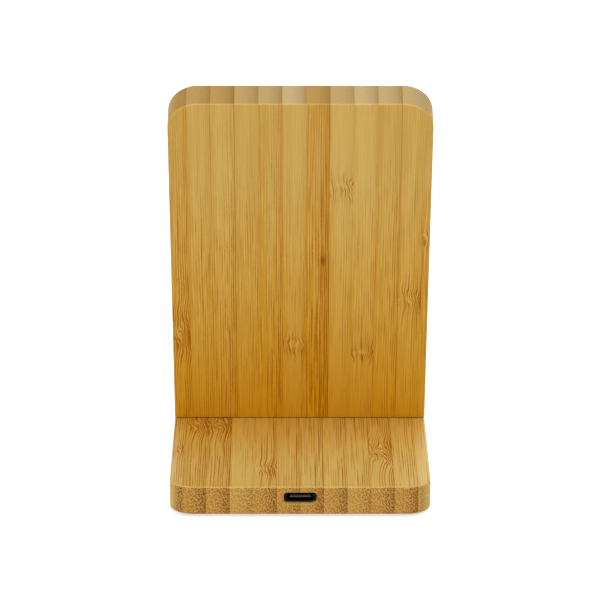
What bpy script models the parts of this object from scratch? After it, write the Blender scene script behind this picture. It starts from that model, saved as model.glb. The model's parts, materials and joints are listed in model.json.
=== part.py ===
"""Wireless charging stand: a bamboo backrest that leans back over a bamboo base.

Units are metres and +Z is up. The stand faces +Y, where the phone rests, and its rear, with the
USB-C inlet, faces -Y. The origin is on the table, under the middle of the stand.
"""
import math

import bmesh
import bpy
from mathutils import Matrix, Vector

# Boards
board_width = 0.075
lean_angle = math.radians(20)
base_thickness = 0.0085
base_rear_reach = 0.0554
shelf_depth = 0.016
base_corner_radius = 0.007
backrest_thickness = 0.0092
backrest_height = 0.1162
backrest_corner_radius = 0.0086
edge_round = 0.0005

# Clearances
seat_gap = 0.0003
fit_gap = 0.0003
hole_gap = 0.0002
moulding_gap = 0.00015
cut_overrun = 0.002
weld_distance = 0.000001

# Coil pocket in the backrest, open towards the phone
backrest_wall = 0.0026
side_rail = 0.008
top_rail = 0.0085
foot_rail = 0.0125
pocket_corner_radius = 0.003
front_cover_thickness = 0.0022
front_cover_ledge = 0.002

# Coils, ferrites and their tray
wire_diameter = 0.001
turn_gap = 0.00045
least_coil_radius = 0.009
ferrite_thickness = 0.0012
ferrite_margin = 0.0006
tray_floor = 0.0008
tray_wall = 0.0008
lead_lane = 0.004
side_lane = 0.0046
wire_bend_radius = 0.002
curl_radius = 0.0035
cable_bore_radius = 0.0022
lead_join_share = 1.35
dip_start_share = 0.55

# Phone shelf
lip_thickness = 0.004
lip_height = 0.005
shelf_pad_width = 0.05
shelf_pad_depth = 0.006
shelf_pad_thickness = 0.0008
shelf_pad_stand = 0.0004

# Joint between the boards
dowel_radius = 0.0025
dowel_depth_in_base = 0.005
dowel_depth_in_backrest = 0.0085
dowel_spacing = 0.032
screw_shank_radius = 0.0015
screw_head_radius = 0.0028
screw_head_height = 0.0018
screw_head_recess = 0.0015
screw_length = 0.022
screw_tip_length = 0.003
recess_width = 0.0007

# Electronics pocket in the base, open underneath
near_rail = 0.0043
base_side_rail = 0.0175
foot_wall = 0.0025
bay_ceiling_wall = 0.0013
board_ledge = 0.005
base_pocket_radius = 0.002
channel_half_width = 0.0038
base_cover_thickness = 0.0012
cover_side_rim = 0.0045
cover_end_rim = 0.0025
cover_corner_radius = 0.003
cover_rib_height = 0.0009
cover_rib_thickness = 0.0012

# Feet
foot_radius = 0.004
foot_stand = 0.001
foot_depth = 0.0006
foot_inset = 0.0075
foot_edge = 0.0003

# Cover screws and board screws
cover_screw_radius = 0.00085
cover_screw_head_radius = 0.0017
cover_screw_length = 0.0052
cover_screw_inset = 0.0023
board_screw_radius = 0.0008
board_screw_head_radius = 0.0015
board_screw_head_height = 0.0006
board_screw_length = 0.0036
board_screw_inset = 0.0024

# USB-C receptacle
port_depth = 0.0034
port_recess = 0.0009
port_chamfer = 0.00015
port_side_clearance = 0.00025
port_height_clearance = 0.00015
port_corner_radius = 0.001
shell_width = 0.00894
shell_height = 0.00316
shell_wall = 0.0003
shell_length = 0.00735
shell_leg_width = 0.0011
shell_leg_drop = 0.0014
tongue_width = 0.00669
tongue_thickness = 0.0007
tongue_recess = 0.0003
tongue_block_length = 0.0024

# Circuit board and what it carries
circuit_board_thickness = 0.0008
circuit_board_corner = 0.001
solder_gap = 0.0002
pad_length = 0.0015
lead_fan = 0.0029
chip_size = (0.006, 0.006, 0.0009)
power_switch_size = (0.0033, 0.0033, 0.0009)
inductor_size = (0.0055, 0.0055, 0.0026)
input_capacitor_size = (0.0032, 0.0025, 0.0022)
resonant_capacitor_size = (0.0045, 0.0032, 0.0024)
resonant_capacitor_gap = 0.0021
resonant_capacitor_count = 4
component_chamfer = 0.0002

# Where each component's middle lies on the board, as shares of the bay's half width and its length
chip_place_shares = [(0.0, 0.44)]
power_switch_place_shares = [(-0.6, 0.62), (-0.2, 0.62), (0.2, 0.62), (0.6, 0.62)]
inductor_place_shares = [(0.55, 0.3)]
input_capacitor_place_shares = [(-0.55, 0.26), (-0.55, 0.38)]
resonant_row_share = 0.78
rib_place_shares = (0.35, 0.7)

# How finely round shapes are divided
corner_facets = 10
pocket_facets = 4
hole_sides = 14
screw_sides = 14
foot_sides = 24
coil_steps = 24
bend_steps = 4

# Places that follow from the sizes above
lean_sine = math.sin(lean_angle)
lean_cosine = math.cos(lean_angle)
base_bottom = foot_stand
base_top = base_bottom + base_thickness
base_depth = base_rear_reach + backrest_thickness / lean_cosine + shelf_depth
rear_edge = -base_depth / 2
front_edge = base_depth / 2
seam_y = rear_edge + base_rear_reach
half_width = board_width / 2

# The backrest's own frame: x to the right as the user sees it, y up the slope, z out to the phone
backrest_frame = (
    Matrix.Translation((0, seam_y, base_top))
    @ Matrix.Rotation(math.pi, 4, "Z")
    @ Matrix.Rotation(math.pi / 2 - lean_angle, 4, "X")
)


def new_collection(name):
    made = bpy.data.collections.new(name)
    bpy.context.scene.collection.children.link(made)
    return made


def new_material(name, colour, roughness, metallic=0.0):
    made = bpy.data.materials.new(name)
    made.use_nodes = True
    shader = made.node_tree.nodes["Principled BSDF"]
    shader.inputs["Base Color"].default_value = (*colour, 1.0)
    shader.inputs["Roughness"].default_value = roughness
    shader.inputs["Metallic"].default_value = metallic
    made.diffuse_color = (*colour, 1.0)
    return made


def new_object(name, mesh):
    made = bpy.data.objects.new(name, mesh)
    parts.objects.link(made)
    return made


def mesh_from(name, build):
    """A mesh object whose faces the given function makes in a fresh bmesh."""
    mesh = bpy.data.meshes.new(name)
    work = bmesh.new()
    build(work)
    bmesh.ops.recalc_face_normals(work, faces=work.faces)
    work.to_mesh(mesh)
    work.free()
    return new_object(name, mesh)


def mesh_from_curve(name, curve):
    """A closed mesh object from a curve, with its caps welded on."""
    guide = bpy.data.objects.new(name + "_curve", curve)
    parts.objects.link(guide)
    bpy.context.view_layer.update()
    evaluated = guide.evaluated_get(bpy.context.evaluated_depsgraph_get())
    mesh = bpy.data.meshes.new_from_object(evaluated)
    mesh.name = name
    work = bmesh.new()
    work.from_mesh(mesh)
    bmesh.ops.remove_doubles(work, verts=work.verts, dist=weld_distance)
    bmesh.ops.recalc_face_normals(work, faces=work.faces)
    work.to_mesh(mesh)
    work.free()
    made = new_object(name, mesh)
    made.matrix_world = guide.matrix_world.copy()
    bpy.data.objects.remove(guide)
    return made


def box(name, low, high):
    low = Vector(low)
    high = Vector(high)

    def build(work):
        bmesh.ops.create_cube(work, size=1)
        bmesh.ops.scale(work, vec=high - low, verts=work.verts)
        bmesh.ops.translate(work, vec=(low + high) / 2, verts=work.verts)

    return mesh_from(name, build)


def rod(name, radius, start, end, sides):
    """A round bar from one point to another."""
    start = Vector(start)
    end = Vector(end)
    turn = (end - start).to_track_quat("Z", "Y").to_matrix().to_4x4()
    place = Matrix.Translation((start + end) / 2) @ turn

    def build(work):
        bmesh.ops.create_cone(
            work, cap_ends=True, segments=sides, radius1=radius, radius2=radius,
            depth=(end - start).length, matrix=place,
        )

    return mesh_from(name, build)


def turned(name, profile, sides):
    """A turned piece: (radius, height) points from the top of the axis down to its foot."""
    mesh = bpy.data.meshes.new(name)
    points = [(radius, 0, height) for radius, height in profile]
    links = [(i, i + 1) for i in range(len(points) - 1)]
    mesh.from_pydata(points, links, [])
    made = new_object(name, mesh)
    screw = made.modifiers.new("turn", "SCREW")
    screw.axis = "Z"
    screw.steps = sides
    screw.render_steps = sides
    screw.use_merge_vertices = True
    screw.merge_threshold = weld_distance
    screw.use_smooth_shade = False
    return made


def arc(centre_x, centre_y, radius, start, end, facets):
    step = (end - start) / facets
    angles = [start + i * step for i in range(facets + 1)]
    return [(centre_x + radius * math.cos(a), centre_y + radius * math.sin(a)) for a in angles]


def rounded_outline(low, high, low_radius, high_radius, facets):
    """A rectangle's outline whose two low and two high corners are rounded, or square at zero."""
    corners = [
        (high[0] - low_radius, low[1] + low_radius, low_radius, -math.pi / 2),
        (high[0] - high_radius, high[1] - high_radius, high_radius, 0.0),
        (low[0] + high_radius, high[1] - high_radius, high_radius, math.pi / 2),
        (low[0] + low_radius, low[1] + low_radius, low_radius, math.pi),
    ]
    outline = []
    for x, y, radius, start in corners:
        if radius > 0:
            outline += arc(x, y, radius, start, start + math.pi / 2, facets)
        else:
            outline.append((x, y))
    return outline


def plate(name, outline, low, high):
    """A flat piece with the given XY outline, from height low to height high."""
    curve = bpy.data.curves.new(name, "CURVE")
    curve.dimensions = "2D"
    curve.fill_mode = "BOTH"
    curve.extrude = (high - low) / 2
    spline = curve.splines.new("POLY")
    spline.points.add(len(outline) - 1)
    for point, (x, y) in zip(spline.points, outline):
        point.co = (x, y, 0, 1)
    spline.use_cyclic_u = True
    made = mesh_from_curve(name, curve)
    made.data.transform(Matrix.Translation((0, 0, (low + high) / 2)))
    return made


def stadium_outline(width, height):
    """Points round a slot shape with half-round ends, in X and Z."""
    radius = height / 2
    reach = width / 2 - radius
    right = arc(reach, 0, radius, -math.pi / 2, math.pi / 2, 2 * pocket_facets)
    left = arc(-reach, 0, radius, math.pi / 2, 3 * math.pi / 2, 2 * pocket_facets)
    return right + left


def loft_along_y(name, centre_z, sections):
    """A bar along Y, through outlines of as many points each, given as (y, outline in X and Z)."""

    def build(work):
        rings = []
        for y, outline in sections:
            rings.append([work.verts.new((x, y, centre_z + z)) for x, z in outline])
        count = len(rings[0])
        for near, far in zip(rings, rings[1:]):
            for i in range(count):
                j = (i + 1) % count
                work.faces.new((near[i], near[j], far[j], far[i]))
        work.faces.new(rings[0])
        work.faces.new(rings[-1])

    return mesh_from(name, build)


def make_cutter(shape):
    parts.objects.unlink(shape)
    cutters.objects.link(shape)
    shape.hide_render = True
    shape.display_type = "WIRE"
    return shape


def cut(piece, *shapes):
    for shape in shapes:
        if shape.name not in cutters.objects:
            make_cutter(shape)
        step = piece.modifiers.new(shape.name, "BOOLEAN")
        step.operation = "DIFFERENCE"
        step.object = shape


def join(piece, *shapes):
    for shape in shapes:
        make_cutter(shape)
        step = piece.modifiers.new(shape.name, "BOOLEAN")
        step.operation = "UNION"
        step.object = shape


def keep_inside(piece, shape):
    make_cutter(shape)
    step = piece.modifiers.new(shape.name, "BOOLEAN")
    step.operation = "INTERSECT"
    step.object = shape


def round_edges(piece, width, segments):
    step = piece.modifiers.new("edges", "BEVEL")
    step.width = width
    step.segments = segments
    step.limit_method = "ANGLE"
    step.angle_limit = math.radians(40)


def put_in_backrest(*pieces):
    """Pieces drawn in the backrest's own frame follow its lean."""
    for piece in pieces:
        piece.parent = backrest_empty


def finish(piece, material):
    piece.data.materials.clear()
    piece.data.materials.append(material)
    piece.data.shade_smooth()
    piece.data.set_sharp_from_angle(angle=math.radians(30))
    return piece


def in_backrest(x, y, z):
    """The world place of a point given in the backrest's own frame."""
    return backrest_frame @ Vector((x, y, z))


# Start from an empty scene
for old in list(bpy.data.objects):
    bpy.data.objects.remove(old)

parts = new_collection("wireless_charging_stand")
cutters = new_collection("cutters")

backrest_empty = bpy.data.objects.new("backrest_frame", None)
parts.objects.link(backrest_empty)
backrest_empty.matrix_world = backrest_frame
bpy.context.view_layer.update()

bamboo = new_material("bamboo", (0.6, 0.38, 0.13), 0.45)
dowel_wood = new_material("dowel_wood", (0.65, 0.48, 0.28), 0.6)
silicone = new_material("silicone", (0.05, 0.05, 0.05), 0.7)
zinc_steel = new_material("zinc_steel", (0.6, 0.6, 0.58), 0.35, 1.0)
cover_plastic = new_material("cover_plastic", (0.035, 0.035, 0.037), 0.5)
board_laminate = new_material("board_laminate", (0.01, 0.12, 0.05), 0.35)
shell_steel = new_material("shell_steel", (0.3, 0.3, 0.31), 0.3, 1.0)
tongue_plastic = new_material("tongue_plastic", (0.03, 0.03, 0.03), 0.5)
chip_plastic = new_material("chip_plastic", (0.02, 0.02, 0.022), 0.45)
capacitor_ceramic = new_material("capacitor_ceramic", (0.32, 0.22, 0.13), 0.5)
ferrite_grey = new_material("ferrite_grey", (0.06, 0.06, 0.065), 0.55)
tray_plastic = new_material("tray_plastic", (0.75, 0.75, 0.72), 0.5)
litz_copper = new_material("litz_copper", (0.7, 0.3, 0.13), 0.35, 1.0)

# The backrest's layers, measured from its rear face
tray_low = backrest_wall + seat_gap
ferrite_low = tray_low + tray_floor + fit_gap
ferrite_high = ferrite_low + ferrite_thickness
lead_pitch = wire_diameter + turn_gap
coil_level = ferrite_high + fit_gap + wire_diameter / 2
under_level = coil_level - lead_pitch
bore_level = (coil_level + under_level) / 2
cover_low = backrest_thickness - front_cover_thickness
tray_high = ferrite_high - fit_gap

# The coil pocket, seen from the phone side
pocket_left = -half_width + side_rail
pocket_right = half_width - side_rail
pocket_foot = foot_rail
pocket_head = backrest_height - top_rail

# Each ferrite is as large as the pocket's length and width allow
tray_length = pocket_head - pocket_foot - lead_lane - fit_gap
ferrite_side_by_length = (tray_length - 3 * tray_wall - 4 * fit_gap) / 2
ferrite_side_by_width = pocket_right - pocket_left - 2 * (side_lane + tray_wall + fit_gap)
ferrite_side = min(ferrite_side_by_length, ferrite_side_by_width)
ferrite_step = ferrite_side + tray_wall + 2 * fit_gap
tray_half_width = ferrite_side / 2 + fit_gap + tray_wall
tray_foot = pocket_foot + lead_lane
tray_head = tray_foot + 2 * ferrite_step + tray_wall
lower_centre_y = tray_foot + tray_wall + fit_gap + ferrite_side / 2
upper_centre_y = lower_centre_y + ferrite_step
coil_outer_radius = ferrite_side / 2 - ferrite_margin - wire_diameter / 2
coil_turns = math.floor((coil_outer_radius - least_coil_radius) / lead_pitch)
coil_inner_radius = coil_outer_radius - coil_turns * lead_pitch
eye_radius = coil_inner_radius - lead_pitch
lead_offset = lead_pitch / 2
left_lane_x = (pocket_left - tray_half_width) / 2
foot_lane_y = pocket_foot + lead_lane / 2

# The base's layers, as heights above the table
port_z = base_top - port_depth
shell_low = port_z - shell_height / 2
shell_high = port_z + shell_height / 2
circuit_top = shell_low - solder_gap
circuit_low = circuit_top - circuit_board_thickness
ledge_z = circuit_top + hole_gap
bay_ceiling = base_top - bay_ceiling_wall
cover_top = base_bottom + base_cover_thickness
lead_z = circuit_top + solder_gap + wire_diameter / 2

# The electronics pocket, seen from above
bay_rear = rear_edge + near_rail
bay_front = seam_y - foot_wall
base_pocket_half = half_width - base_side_rail
bay_half = base_pocket_half - board_ledge
bay_length = bay_front - bay_rear
circuit_rear = bay_rear + fit_gap
circuit_front = bay_front - fit_gap
circuit_half = base_pocket_half - fit_gap

# Where the cable bore comes out of the bay's ceiling, and how far the channel below it reaches
bore_slope = lean_sine / lean_cosine
bore_exit_y = seam_y + bore_level / lean_cosine + (base_top - lead_z) * bore_slope
channel_front = bore_exit_y + cable_bore_radius / lean_cosine + wire_diameter
cover_half = base_pocket_half + cover_side_rim
cover_rear = bay_rear - cover_end_rim
cover_front = channel_front + cover_end_rim

# The shelf, and the places of what repeats
shelf_rear = seam_y + backrest_thickness / lean_cosine
shelf_pad_middle = (shelf_rear + front_edge - lip_thickness) / 2
foot_x = half_width - foot_inset
foot_places = [(x, y) for x in (-foot_x, foot_x) for y in (rear_edge + foot_inset, front_edge - foot_inset)]
cover_screw_x = cover_half - cover_screw_inset
cover_screw_places = [
    (x, y)
    for x in (-cover_screw_x, cover_screw_x)
    for y in (cover_rear + cover_screw_inset, cover_front - cover_screw_inset)
]
board_screw_x = circuit_half - board_screw_inset
board_screw_places = [
    (x, y)
    for x in (-board_screw_x, board_screw_x)
    for y in (circuit_rear + board_screw_inset, circuit_front - board_screw_inset)
]
shell_leg_x = shell_width / 2 - shell_wall / 2
shell_back = rear_edge + port_recess + shell_length
shell_leg_places = [
    (x, y)
    for x in (-shell_leg_x, shell_leg_x)
    for y in (circuit_rear + shell_leg_width, shell_back - shell_leg_width)
]


def base_outline():
    return rounded_outline(
        (-half_width, rear_edge), (half_width, front_edge),
        base_corner_radius, base_corner_radius, corner_facets,
    )


def slot_outline(growth):
    """The routed slot in the wood: the receptacle's size with clearance, and the cutter's round corners."""
    half_wide = shell_width / 2 + port_side_clearance + growth
    half_high = shell_height / 2 + port_height_clearance + growth
    radius = port_corner_radius + growth
    return rounded_outline((-half_wide, -half_high), (half_wide, half_high), radius, radius, pocket_facets)


def make_base_board():
    outline = base_outline()
    board = plate("base_board", outline, base_bottom, base_top)
    round_edges(board, edge_round, 2)
    rebate = rounded_outline(
        (-cover_half - fit_gap, cover_rear - fit_gap), (cover_half + fit_gap, cover_front + fit_gap),
        cover_corner_radius + fit_gap, cover_corner_radius + fit_gap, pocket_facets,
    )
    cut(board, plate("cover_rebate", rebate, base_bottom - cut_overrun, cover_top + seat_gap))
    pocket = rounded_outline(
        (-base_pocket_half, bay_rear), (base_pocket_half, bay_front),
        base_pocket_radius, base_pocket_radius, pocket_facets,
    )
    cut(board, plate("board_pocket", pocket, base_bottom - cut_overrun, ledge_z))
    bay = rounded_outline(
        (-bay_half, bay_rear), (bay_half, bay_front), base_pocket_radius, base_pocket_radius, pocket_facets
    )
    cut(board, plate("component_bay", bay, cover_top, bay_ceiling))
    channel = rounded_outline(
        (-channel_half_width, bay_front - cut_overrun), (channel_half_width, channel_front),
        0, base_pocket_radius, pocket_facets,
    )
    cut(board, plate("lead_channel", channel, base_bottom - cut_overrun, bay_ceiling))
    slot = [
        (rear_edge - cut_overrun, slot_outline(port_chamfer + cut_overrun)),
        (rear_edge + port_chamfer, slot_outline(0)),
        (bay_rear + cut_overrun, slot_outline(0)),
    ]
    cut(board, loft_along_y("port_slot", port_z, slot))
    pad = rounded_outline(
        (-shelf_pad_width / 2 - fit_gap, shelf_pad_middle - shelf_pad_depth / 2 - fit_gap),
        (shelf_pad_width / 2 + fit_gap, shelf_pad_middle + shelf_pad_depth / 2 + fit_gap),
        shelf_pad_depth / 2, shelf_pad_depth / 2, pocket_facets,
    )
    pad_seat = base_top + shelf_pad_stand - shelf_pad_thickness - seat_gap
    cut(board, plate("shelf_pad_recess", pad, pad_seat, base_top + cut_overrun))
    for i, (x, y) in enumerate(foot_places, 1):
        top = base_bottom + foot_depth + seat_gap
        low = base_bottom - cut_overrun
        cut(board, rod(f"foot_recess_{i}", foot_radius + fit_gap, (x, y, low), (x, y, top), foot_sides))
    return finish(board, bamboo)


def make_backrest_board():
    """The board stands past its foot, and a cut at the base's level mitres it to the lean."""
    foot_spare = backrest_thickness * bore_slope + cut_overrun
    outline = rounded_outline(
        (-half_width, -foot_spare), (half_width, backrest_height), 0, backrest_corner_radius, corner_facets
    )
    board = plate("backrest_board", outline, 0, backrest_thickness)
    round_edges(board, edge_round, 2)
    mitre = box(
        "foot_mitre",
        (-board_width, rear_edge, base_top + seat_gap - base_thickness),
        (board_width, front_edge, base_top + seat_gap),
    )
    cut(board, mitre)
    rebate = plate("front_cover_rebate", pocket_outline(front_cover_ledge), cover_low - seat_gap,
                   backrest_thickness + cut_overrun)
    pocket = plate("coil_pocket", pocket_outline(0), backrest_wall, backrest_thickness + cut_overrun)
    put_in_backrest(board, rebate, pocket)
    cut(board, rebate, pocket)
    return finish(board, bamboo)


def pocket_outline(growth):
    radius = pocket_corner_radius + growth
    return rounded_outline(
        (pocket_left - growth, pocket_foot - growth), (pocket_right + growth, pocket_head + growth),
        radius, radius, pocket_facets,
    )


def bore_through(name, radius, x, z, low_y, high_y, *boards):
    """One straight hole along the lean, drilled through every board given."""
    hole = rod(name, radius, in_backrest(x, low_y, z), in_backrest(x, high_y, z), hole_sides)
    for board in boards:
        cut(board, hole)


def make_front_cover():
    cover = plate("front_cover", pocket_outline(front_cover_ledge - fit_gap), cover_low, backrest_thickness)
    round_edges(cover, edge_round / 2, 1)
    put_in_backrest(cover)
    return finish(cover, bamboo)


def make_phone_lip():
    """A strip along the shelf's front edge, rounded like the base below it."""
    outline = base_outline()
    low = base_top + seat_gap
    lip = plate("phone_lip", outline, low, low + lip_height)
    band = box(
        "lip_band",
        (-board_width, front_edge - lip_thickness, low - cut_overrun),
        (board_width, front_edge + cut_overrun, low + lip_height + cut_overrun),
    )
    keep_inside(lip, band)
    round_edges(lip, edge_round, 2)
    return finish(lip, bamboo)


def make_shelf_pad():
    outline = rounded_outline(
        (-shelf_pad_width / 2, shelf_pad_middle - shelf_pad_depth / 2),
        (shelf_pad_width / 2, shelf_pad_middle + shelf_pad_depth / 2),
        shelf_pad_depth / 2 - fit_gap, shelf_pad_depth / 2 - fit_gap, pocket_facets,
    )
    high = base_top + shelf_pad_stand
    return finish(plate("shelf_pad", outline, high - shelf_pad_thickness, high), silicone)


def make_dowels(base, backrest):
    """Two dowels stand along the lean, half in each board."""
    level = backrest_thickness / 2
    seam = -level * bore_slope
    low = seam - dowel_depth_in_base
    high = seam + dowel_depth_in_backrest
    for side, x in (("left", -dowel_spacing / 2), ("right", dowel_spacing / 2)):
        bore_through(
            f"dowel_hole_{side}", dowel_radius + hole_gap, x, level, low - seat_gap, high + seat_gap,
            base, backrest,
        )
        dowel = rod(f"dowel_{side}", dowel_radius, in_backrest(x, low, level), in_backrest(x, high, level),
                    hole_sides)
        finish(dowel, dowel_wood)


def cross_recess(piece, name, radius, depth, parent):
    """A cross recess in a screw head whose outer face is at the piece's own z of zero."""
    reach = radius / 2
    half = recess_width / 2
    arms = [(reach, half), (half, reach)]
    for i, (x, y) in enumerate(arms, 1):
        arm = box(f"{name}_arm_{i}", (-x, -y, -cut_overrun), (x, y, depth))
        arm.parent = parent
        arm.matrix_basis = piece.matrix_basis
        cut(piece, arm)


def place_along_lean(piece, x, y, z):
    """Set a turned piece in the backrest's frame, with its own z pointing up the slope."""
    piece.parent = backrest_empty
    piece.matrix_local = Matrix.Translation((x, y, z)) @ Matrix.Rotation(-math.pi / 2, 4, "X")


def make_backrest_screws(base, backrest):
    """Long screws run up the lean from counterbores under the base into the backrest's side rails."""
    level = backrest_thickness / 2
    mouth = -(base_thickness + level * lean_sine) / lean_cosine
    head_y = mouth + screw_head_recess
    rail_middle = (half_width + pocket_right) / 2
    head = screw_head_height
    profile = [
        (0, head + screw_length),
        (screw_shank_radius, head + screw_length - screw_tip_length),
        (screw_shank_radius, head),
        (screw_head_radius, head),
        (screw_head_radius, 0),
        (0, 0),
    ]
    drilled = [
        (0, head + screw_length + seat_gap),
        (screw_shank_radius + hole_gap, head + screw_length + seat_gap),
        (screw_shank_radius + hole_gap, head + seat_gap),
        (screw_head_radius + hole_gap, head + seat_gap),
        (screw_head_radius + hole_gap, -screw_head_recess - cut_overrun),
        (0, -screw_head_recess - cut_overrun),
    ]
    for side, x in (("left", -rail_middle), ("right", rail_middle)):
        hole = turned(f"backrest_screw_hole_{side}", drilled, hole_sides)
        place_along_lean(hole, x, head_y, level)
        cut(base, hole)
        cut(backrest, hole)
        screw = turned(f"backrest_screw_{side}", profile, screw_sides)
        place_along_lean(screw, x, head_y, level)
        cross_recess(screw, screw.name, screw_head_radius, head / 2, backrest_empty)
        finish(screw, zinc_steel)


def make_base_cover(base):
    outline = rounded_outline(
        (-cover_half, cover_rear), (cover_half, cover_front),
        cover_corner_radius, cover_corner_radius, pocket_facets,
    )
    cover = plate("base_cover", outline, base_bottom, cover_top)
    for i, share in enumerate(rib_place_shares, 1):
        y = bay_rear + share * bay_length
        rib = box(
            f"cover_rib_{i}",
            (-bay_half, y - cover_rib_thickness / 2, base_bottom + base_cover_thickness / 2),
            (bay_half, y + cover_rib_thickness / 2, cover_top + cover_rib_height),
        )
        join(cover, rib)
    cone = cover_screw_head_radius - cover_screw_radius
    profile = [
        (0, cover_screw_length),
        (cover_screw_radius, cover_screw_length - 2 * cover_screw_radius),
        (cover_screw_radius, cone),
        (cover_screw_head_radius, 0),
        (0, 0),
    ]
    wide = cover_screw_radius + hole_gap
    drilled = [
        (0, cover_screw_length + seat_gap),
        (wide, cover_screw_length + seat_gap),
        (wide, cone),
        (cover_screw_head_radius + hole_gap + cut_overrun, -cut_overrun),
        (0, -cut_overrun),
    ]
    for i, (x, y) in enumerate(cover_screw_places, 1):
        hole = turned(f"cover_screw_hole_{i}", drilled, hole_sides)
        hole.location = (x, y, base_bottom)
        cut(base, hole)
        cut(cover, hole)
        screw = turned(f"cover_screw_{i}", profile, screw_sides)
        screw.location = (x, y, base_bottom)
        cross_recess(screw, screw.name, cover_screw_head_radius, cone / 2, None)
        finish(screw, zinc_steel)
    return finish(cover, cover_plastic)


def make_feet():
    profile = [
        (0, foot_stand + foot_depth),
        (foot_radius, foot_stand + foot_depth),
        (foot_radius, foot_edge),
        (foot_radius - foot_edge, 0),
        (0, 0),
    ]
    for i, (x, y) in enumerate(foot_places, 1):
        foot = turned(f"foot_{i}", profile, foot_sides)
        foot.location = (x, y, 0)
        finish(foot, silicone)


def make_main_board(base):
    """The circuit board hangs from the wooden ledges on four small screws."""
    outline = rounded_outline(
        (-circuit_half, circuit_rear), (circuit_half, circuit_front),
        circuit_board_corner, circuit_board_corner, pocket_facets,
    )
    board = plate("main_board", outline, circuit_low, circuit_top)
    head_top = circuit_low - solder_gap
    profile = [
        (0, board_screw_length),
        (board_screw_radius, board_screw_length - board_screw_radius),
        (board_screw_radius, 0),
        (board_screw_head_radius, 0),
        (board_screw_head_radius, -board_screw_head_height),
        (0, -board_screw_head_height),
    ]
    for i, (x, y) in enumerate(board_screw_places, 1):
        hole = rod(
            f"board_screw_hole_{i}", board_screw_radius + hole_gap,
            (x, y, circuit_low - cut_overrun), (x, y, head_top + board_screw_length + seat_gap), hole_sides,
        )
        cut(base, hole)
        cut(board, hole)
        screw = turned(f"board_screw_{i}", profile, screw_sides)
        screw.location = (x, y, head_top)
        finish(screw, zinc_steel)
    for i, (x, y) in enumerate(shell_leg_places, 1):
        grow = hole_gap
        slot = box(
            f"leg_slot_{i}",
            (x - shell_wall / 2 - grow, y - shell_leg_width / 2 - grow, circuit_low - cut_overrun),
            (x + shell_wall / 2 + grow, y + shell_leg_width / 2 + grow, circuit_top + cut_overrun),
        )
        cut(board, slot)
    return finish(board, board_laminate)


def make_receptacle():
    """The receptacle: a drawn steel shell with four legs, and a moulded block with its tongue."""
    front = rear_edge + port_recess
    back = front + shell_length
    outer = stadium_outline(shell_width, shell_height)
    shell = loft_along_y("usb_c_shell", port_z, [(front, outer), (back, outer)])
    inner_width = shell_width - 2 * shell_wall
    inner_height = shell_height - 2 * shell_wall
    for i, (x, y) in enumerate(shell_leg_places, 1):
        leg = box(
            f"shell_leg_{i}",
            (x - shell_wall / 2, y - shell_leg_width / 2, shell_low - shell_leg_drop),
            (x + shell_wall / 2, y + shell_leg_width / 2, port_z),
        )
        join(shell, leg)
    inner = stadium_outline(inner_width, inner_height)
    hollow = [(front - cut_overrun, inner), (back + cut_overrun, inner)]
    cut(shell, loft_along_y("shell_hollow", port_z, hollow))
    finish(shell, shell_steel)

    block = stadium_outline(inner_width - 2 * moulding_gap, inner_height - 2 * moulding_gap)
    block_front = back - tongue_block_length
    tongue = loft_along_y("usb_c_tongue", port_z, [(block_front, block), (back, block)])
    blade = box(
        "tongue_blade",
        (-tongue_width / 2, front + tongue_recess, port_z - tongue_thickness / 2),
        (tongue_width / 2, block_front + tongue_block_length / 2, port_z + tongue_thickness / 2),
    )
    join(tongue, blade)
    finish(tongue, tongue_plastic)


def places_by_shares(place_shares):
    return [(across * bay_half, bay_rear + along * bay_length) for across, along in place_shares]


def places_in_rows(size, gap, count, first_row_share):
    """Places side by side over the bay's width, in as many rows as the count then needs."""
    width, depth, height = size
    pitch = width + gap
    in_row = min(count, 1 + math.floor((2 * bay_half - width) / pitch))
    places = []
    for i in range(count):
        row, column = divmod(i, in_row)
        x = (column - (in_row - 1) / 2) * pitch
        places.append((x, bay_rear + first_row_share * bay_length + row * (depth + gap)))
    return places


def make_components(stem, size, places, material):
    """Components of one kind stand on the circuit board at their places in the bay."""
    width, depth, height = size
    for i, (x, y) in enumerate(places, 1):
        name = stem if len(places) == 1 else f"{stem}_{i}"
        low = circuit_top + solder_gap
        part = box(name, (x - width / 2, y - depth / 2, low), (x + width / 2, y + depth / 2, low + height))
        round_edges(part, component_chamfer, 1)
        finish(part, material)


def make_coil_carrier():
    """A moulded tray with a bay for each ferrite, and a notch in its wall where each coil's leads leave."""
    outline = rounded_outline(
        (-tray_half_width, tray_foot), (tray_half_width, tray_head), tray_wall, tray_wall, pocket_facets
    )
    tray = plate("coil_carrier", outline, tray_low, tray_high)
    put_in_backrest(tray)
    reach = ferrite_side / 2 + fit_gap
    notch_half = wire_diameter + turn_gap
    floor = tray_low + tray_floor
    places = (("lower", lower_centre_y), ("upper", upper_centre_y))
    for label, y in places:
        low = (-reach, y - reach, floor)
        high = (reach, y + reach, tray_high + cut_overrun)
        bay = box(f"{label}_ferrite_bay", low, high)
        put_in_backrest(bay)
        cut(tray, bay)
    lower_notch = box(
        "lower_lead_notch",
        (lead_offset - notch_half, tray_foot - cut_overrun, floor),
        (lead_offset + notch_half, lower_centre_y - ferrite_side / 2, tray_high + cut_overrun),
    )
    upper_lead_y = upper_centre_y - lead_offset
    upper_notch = box(
        "upper_lead_notch",
        (-tray_half_width - cut_overrun, upper_lead_y - notch_half, floor),
        (-ferrite_side / 2, upper_lead_y + notch_half, tray_high + cut_overrun),
    )
    put_in_backrest(lower_notch, upper_notch)
    cut(tray, lower_notch, upper_notch)
    return finish(tray, tray_plastic)


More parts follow.
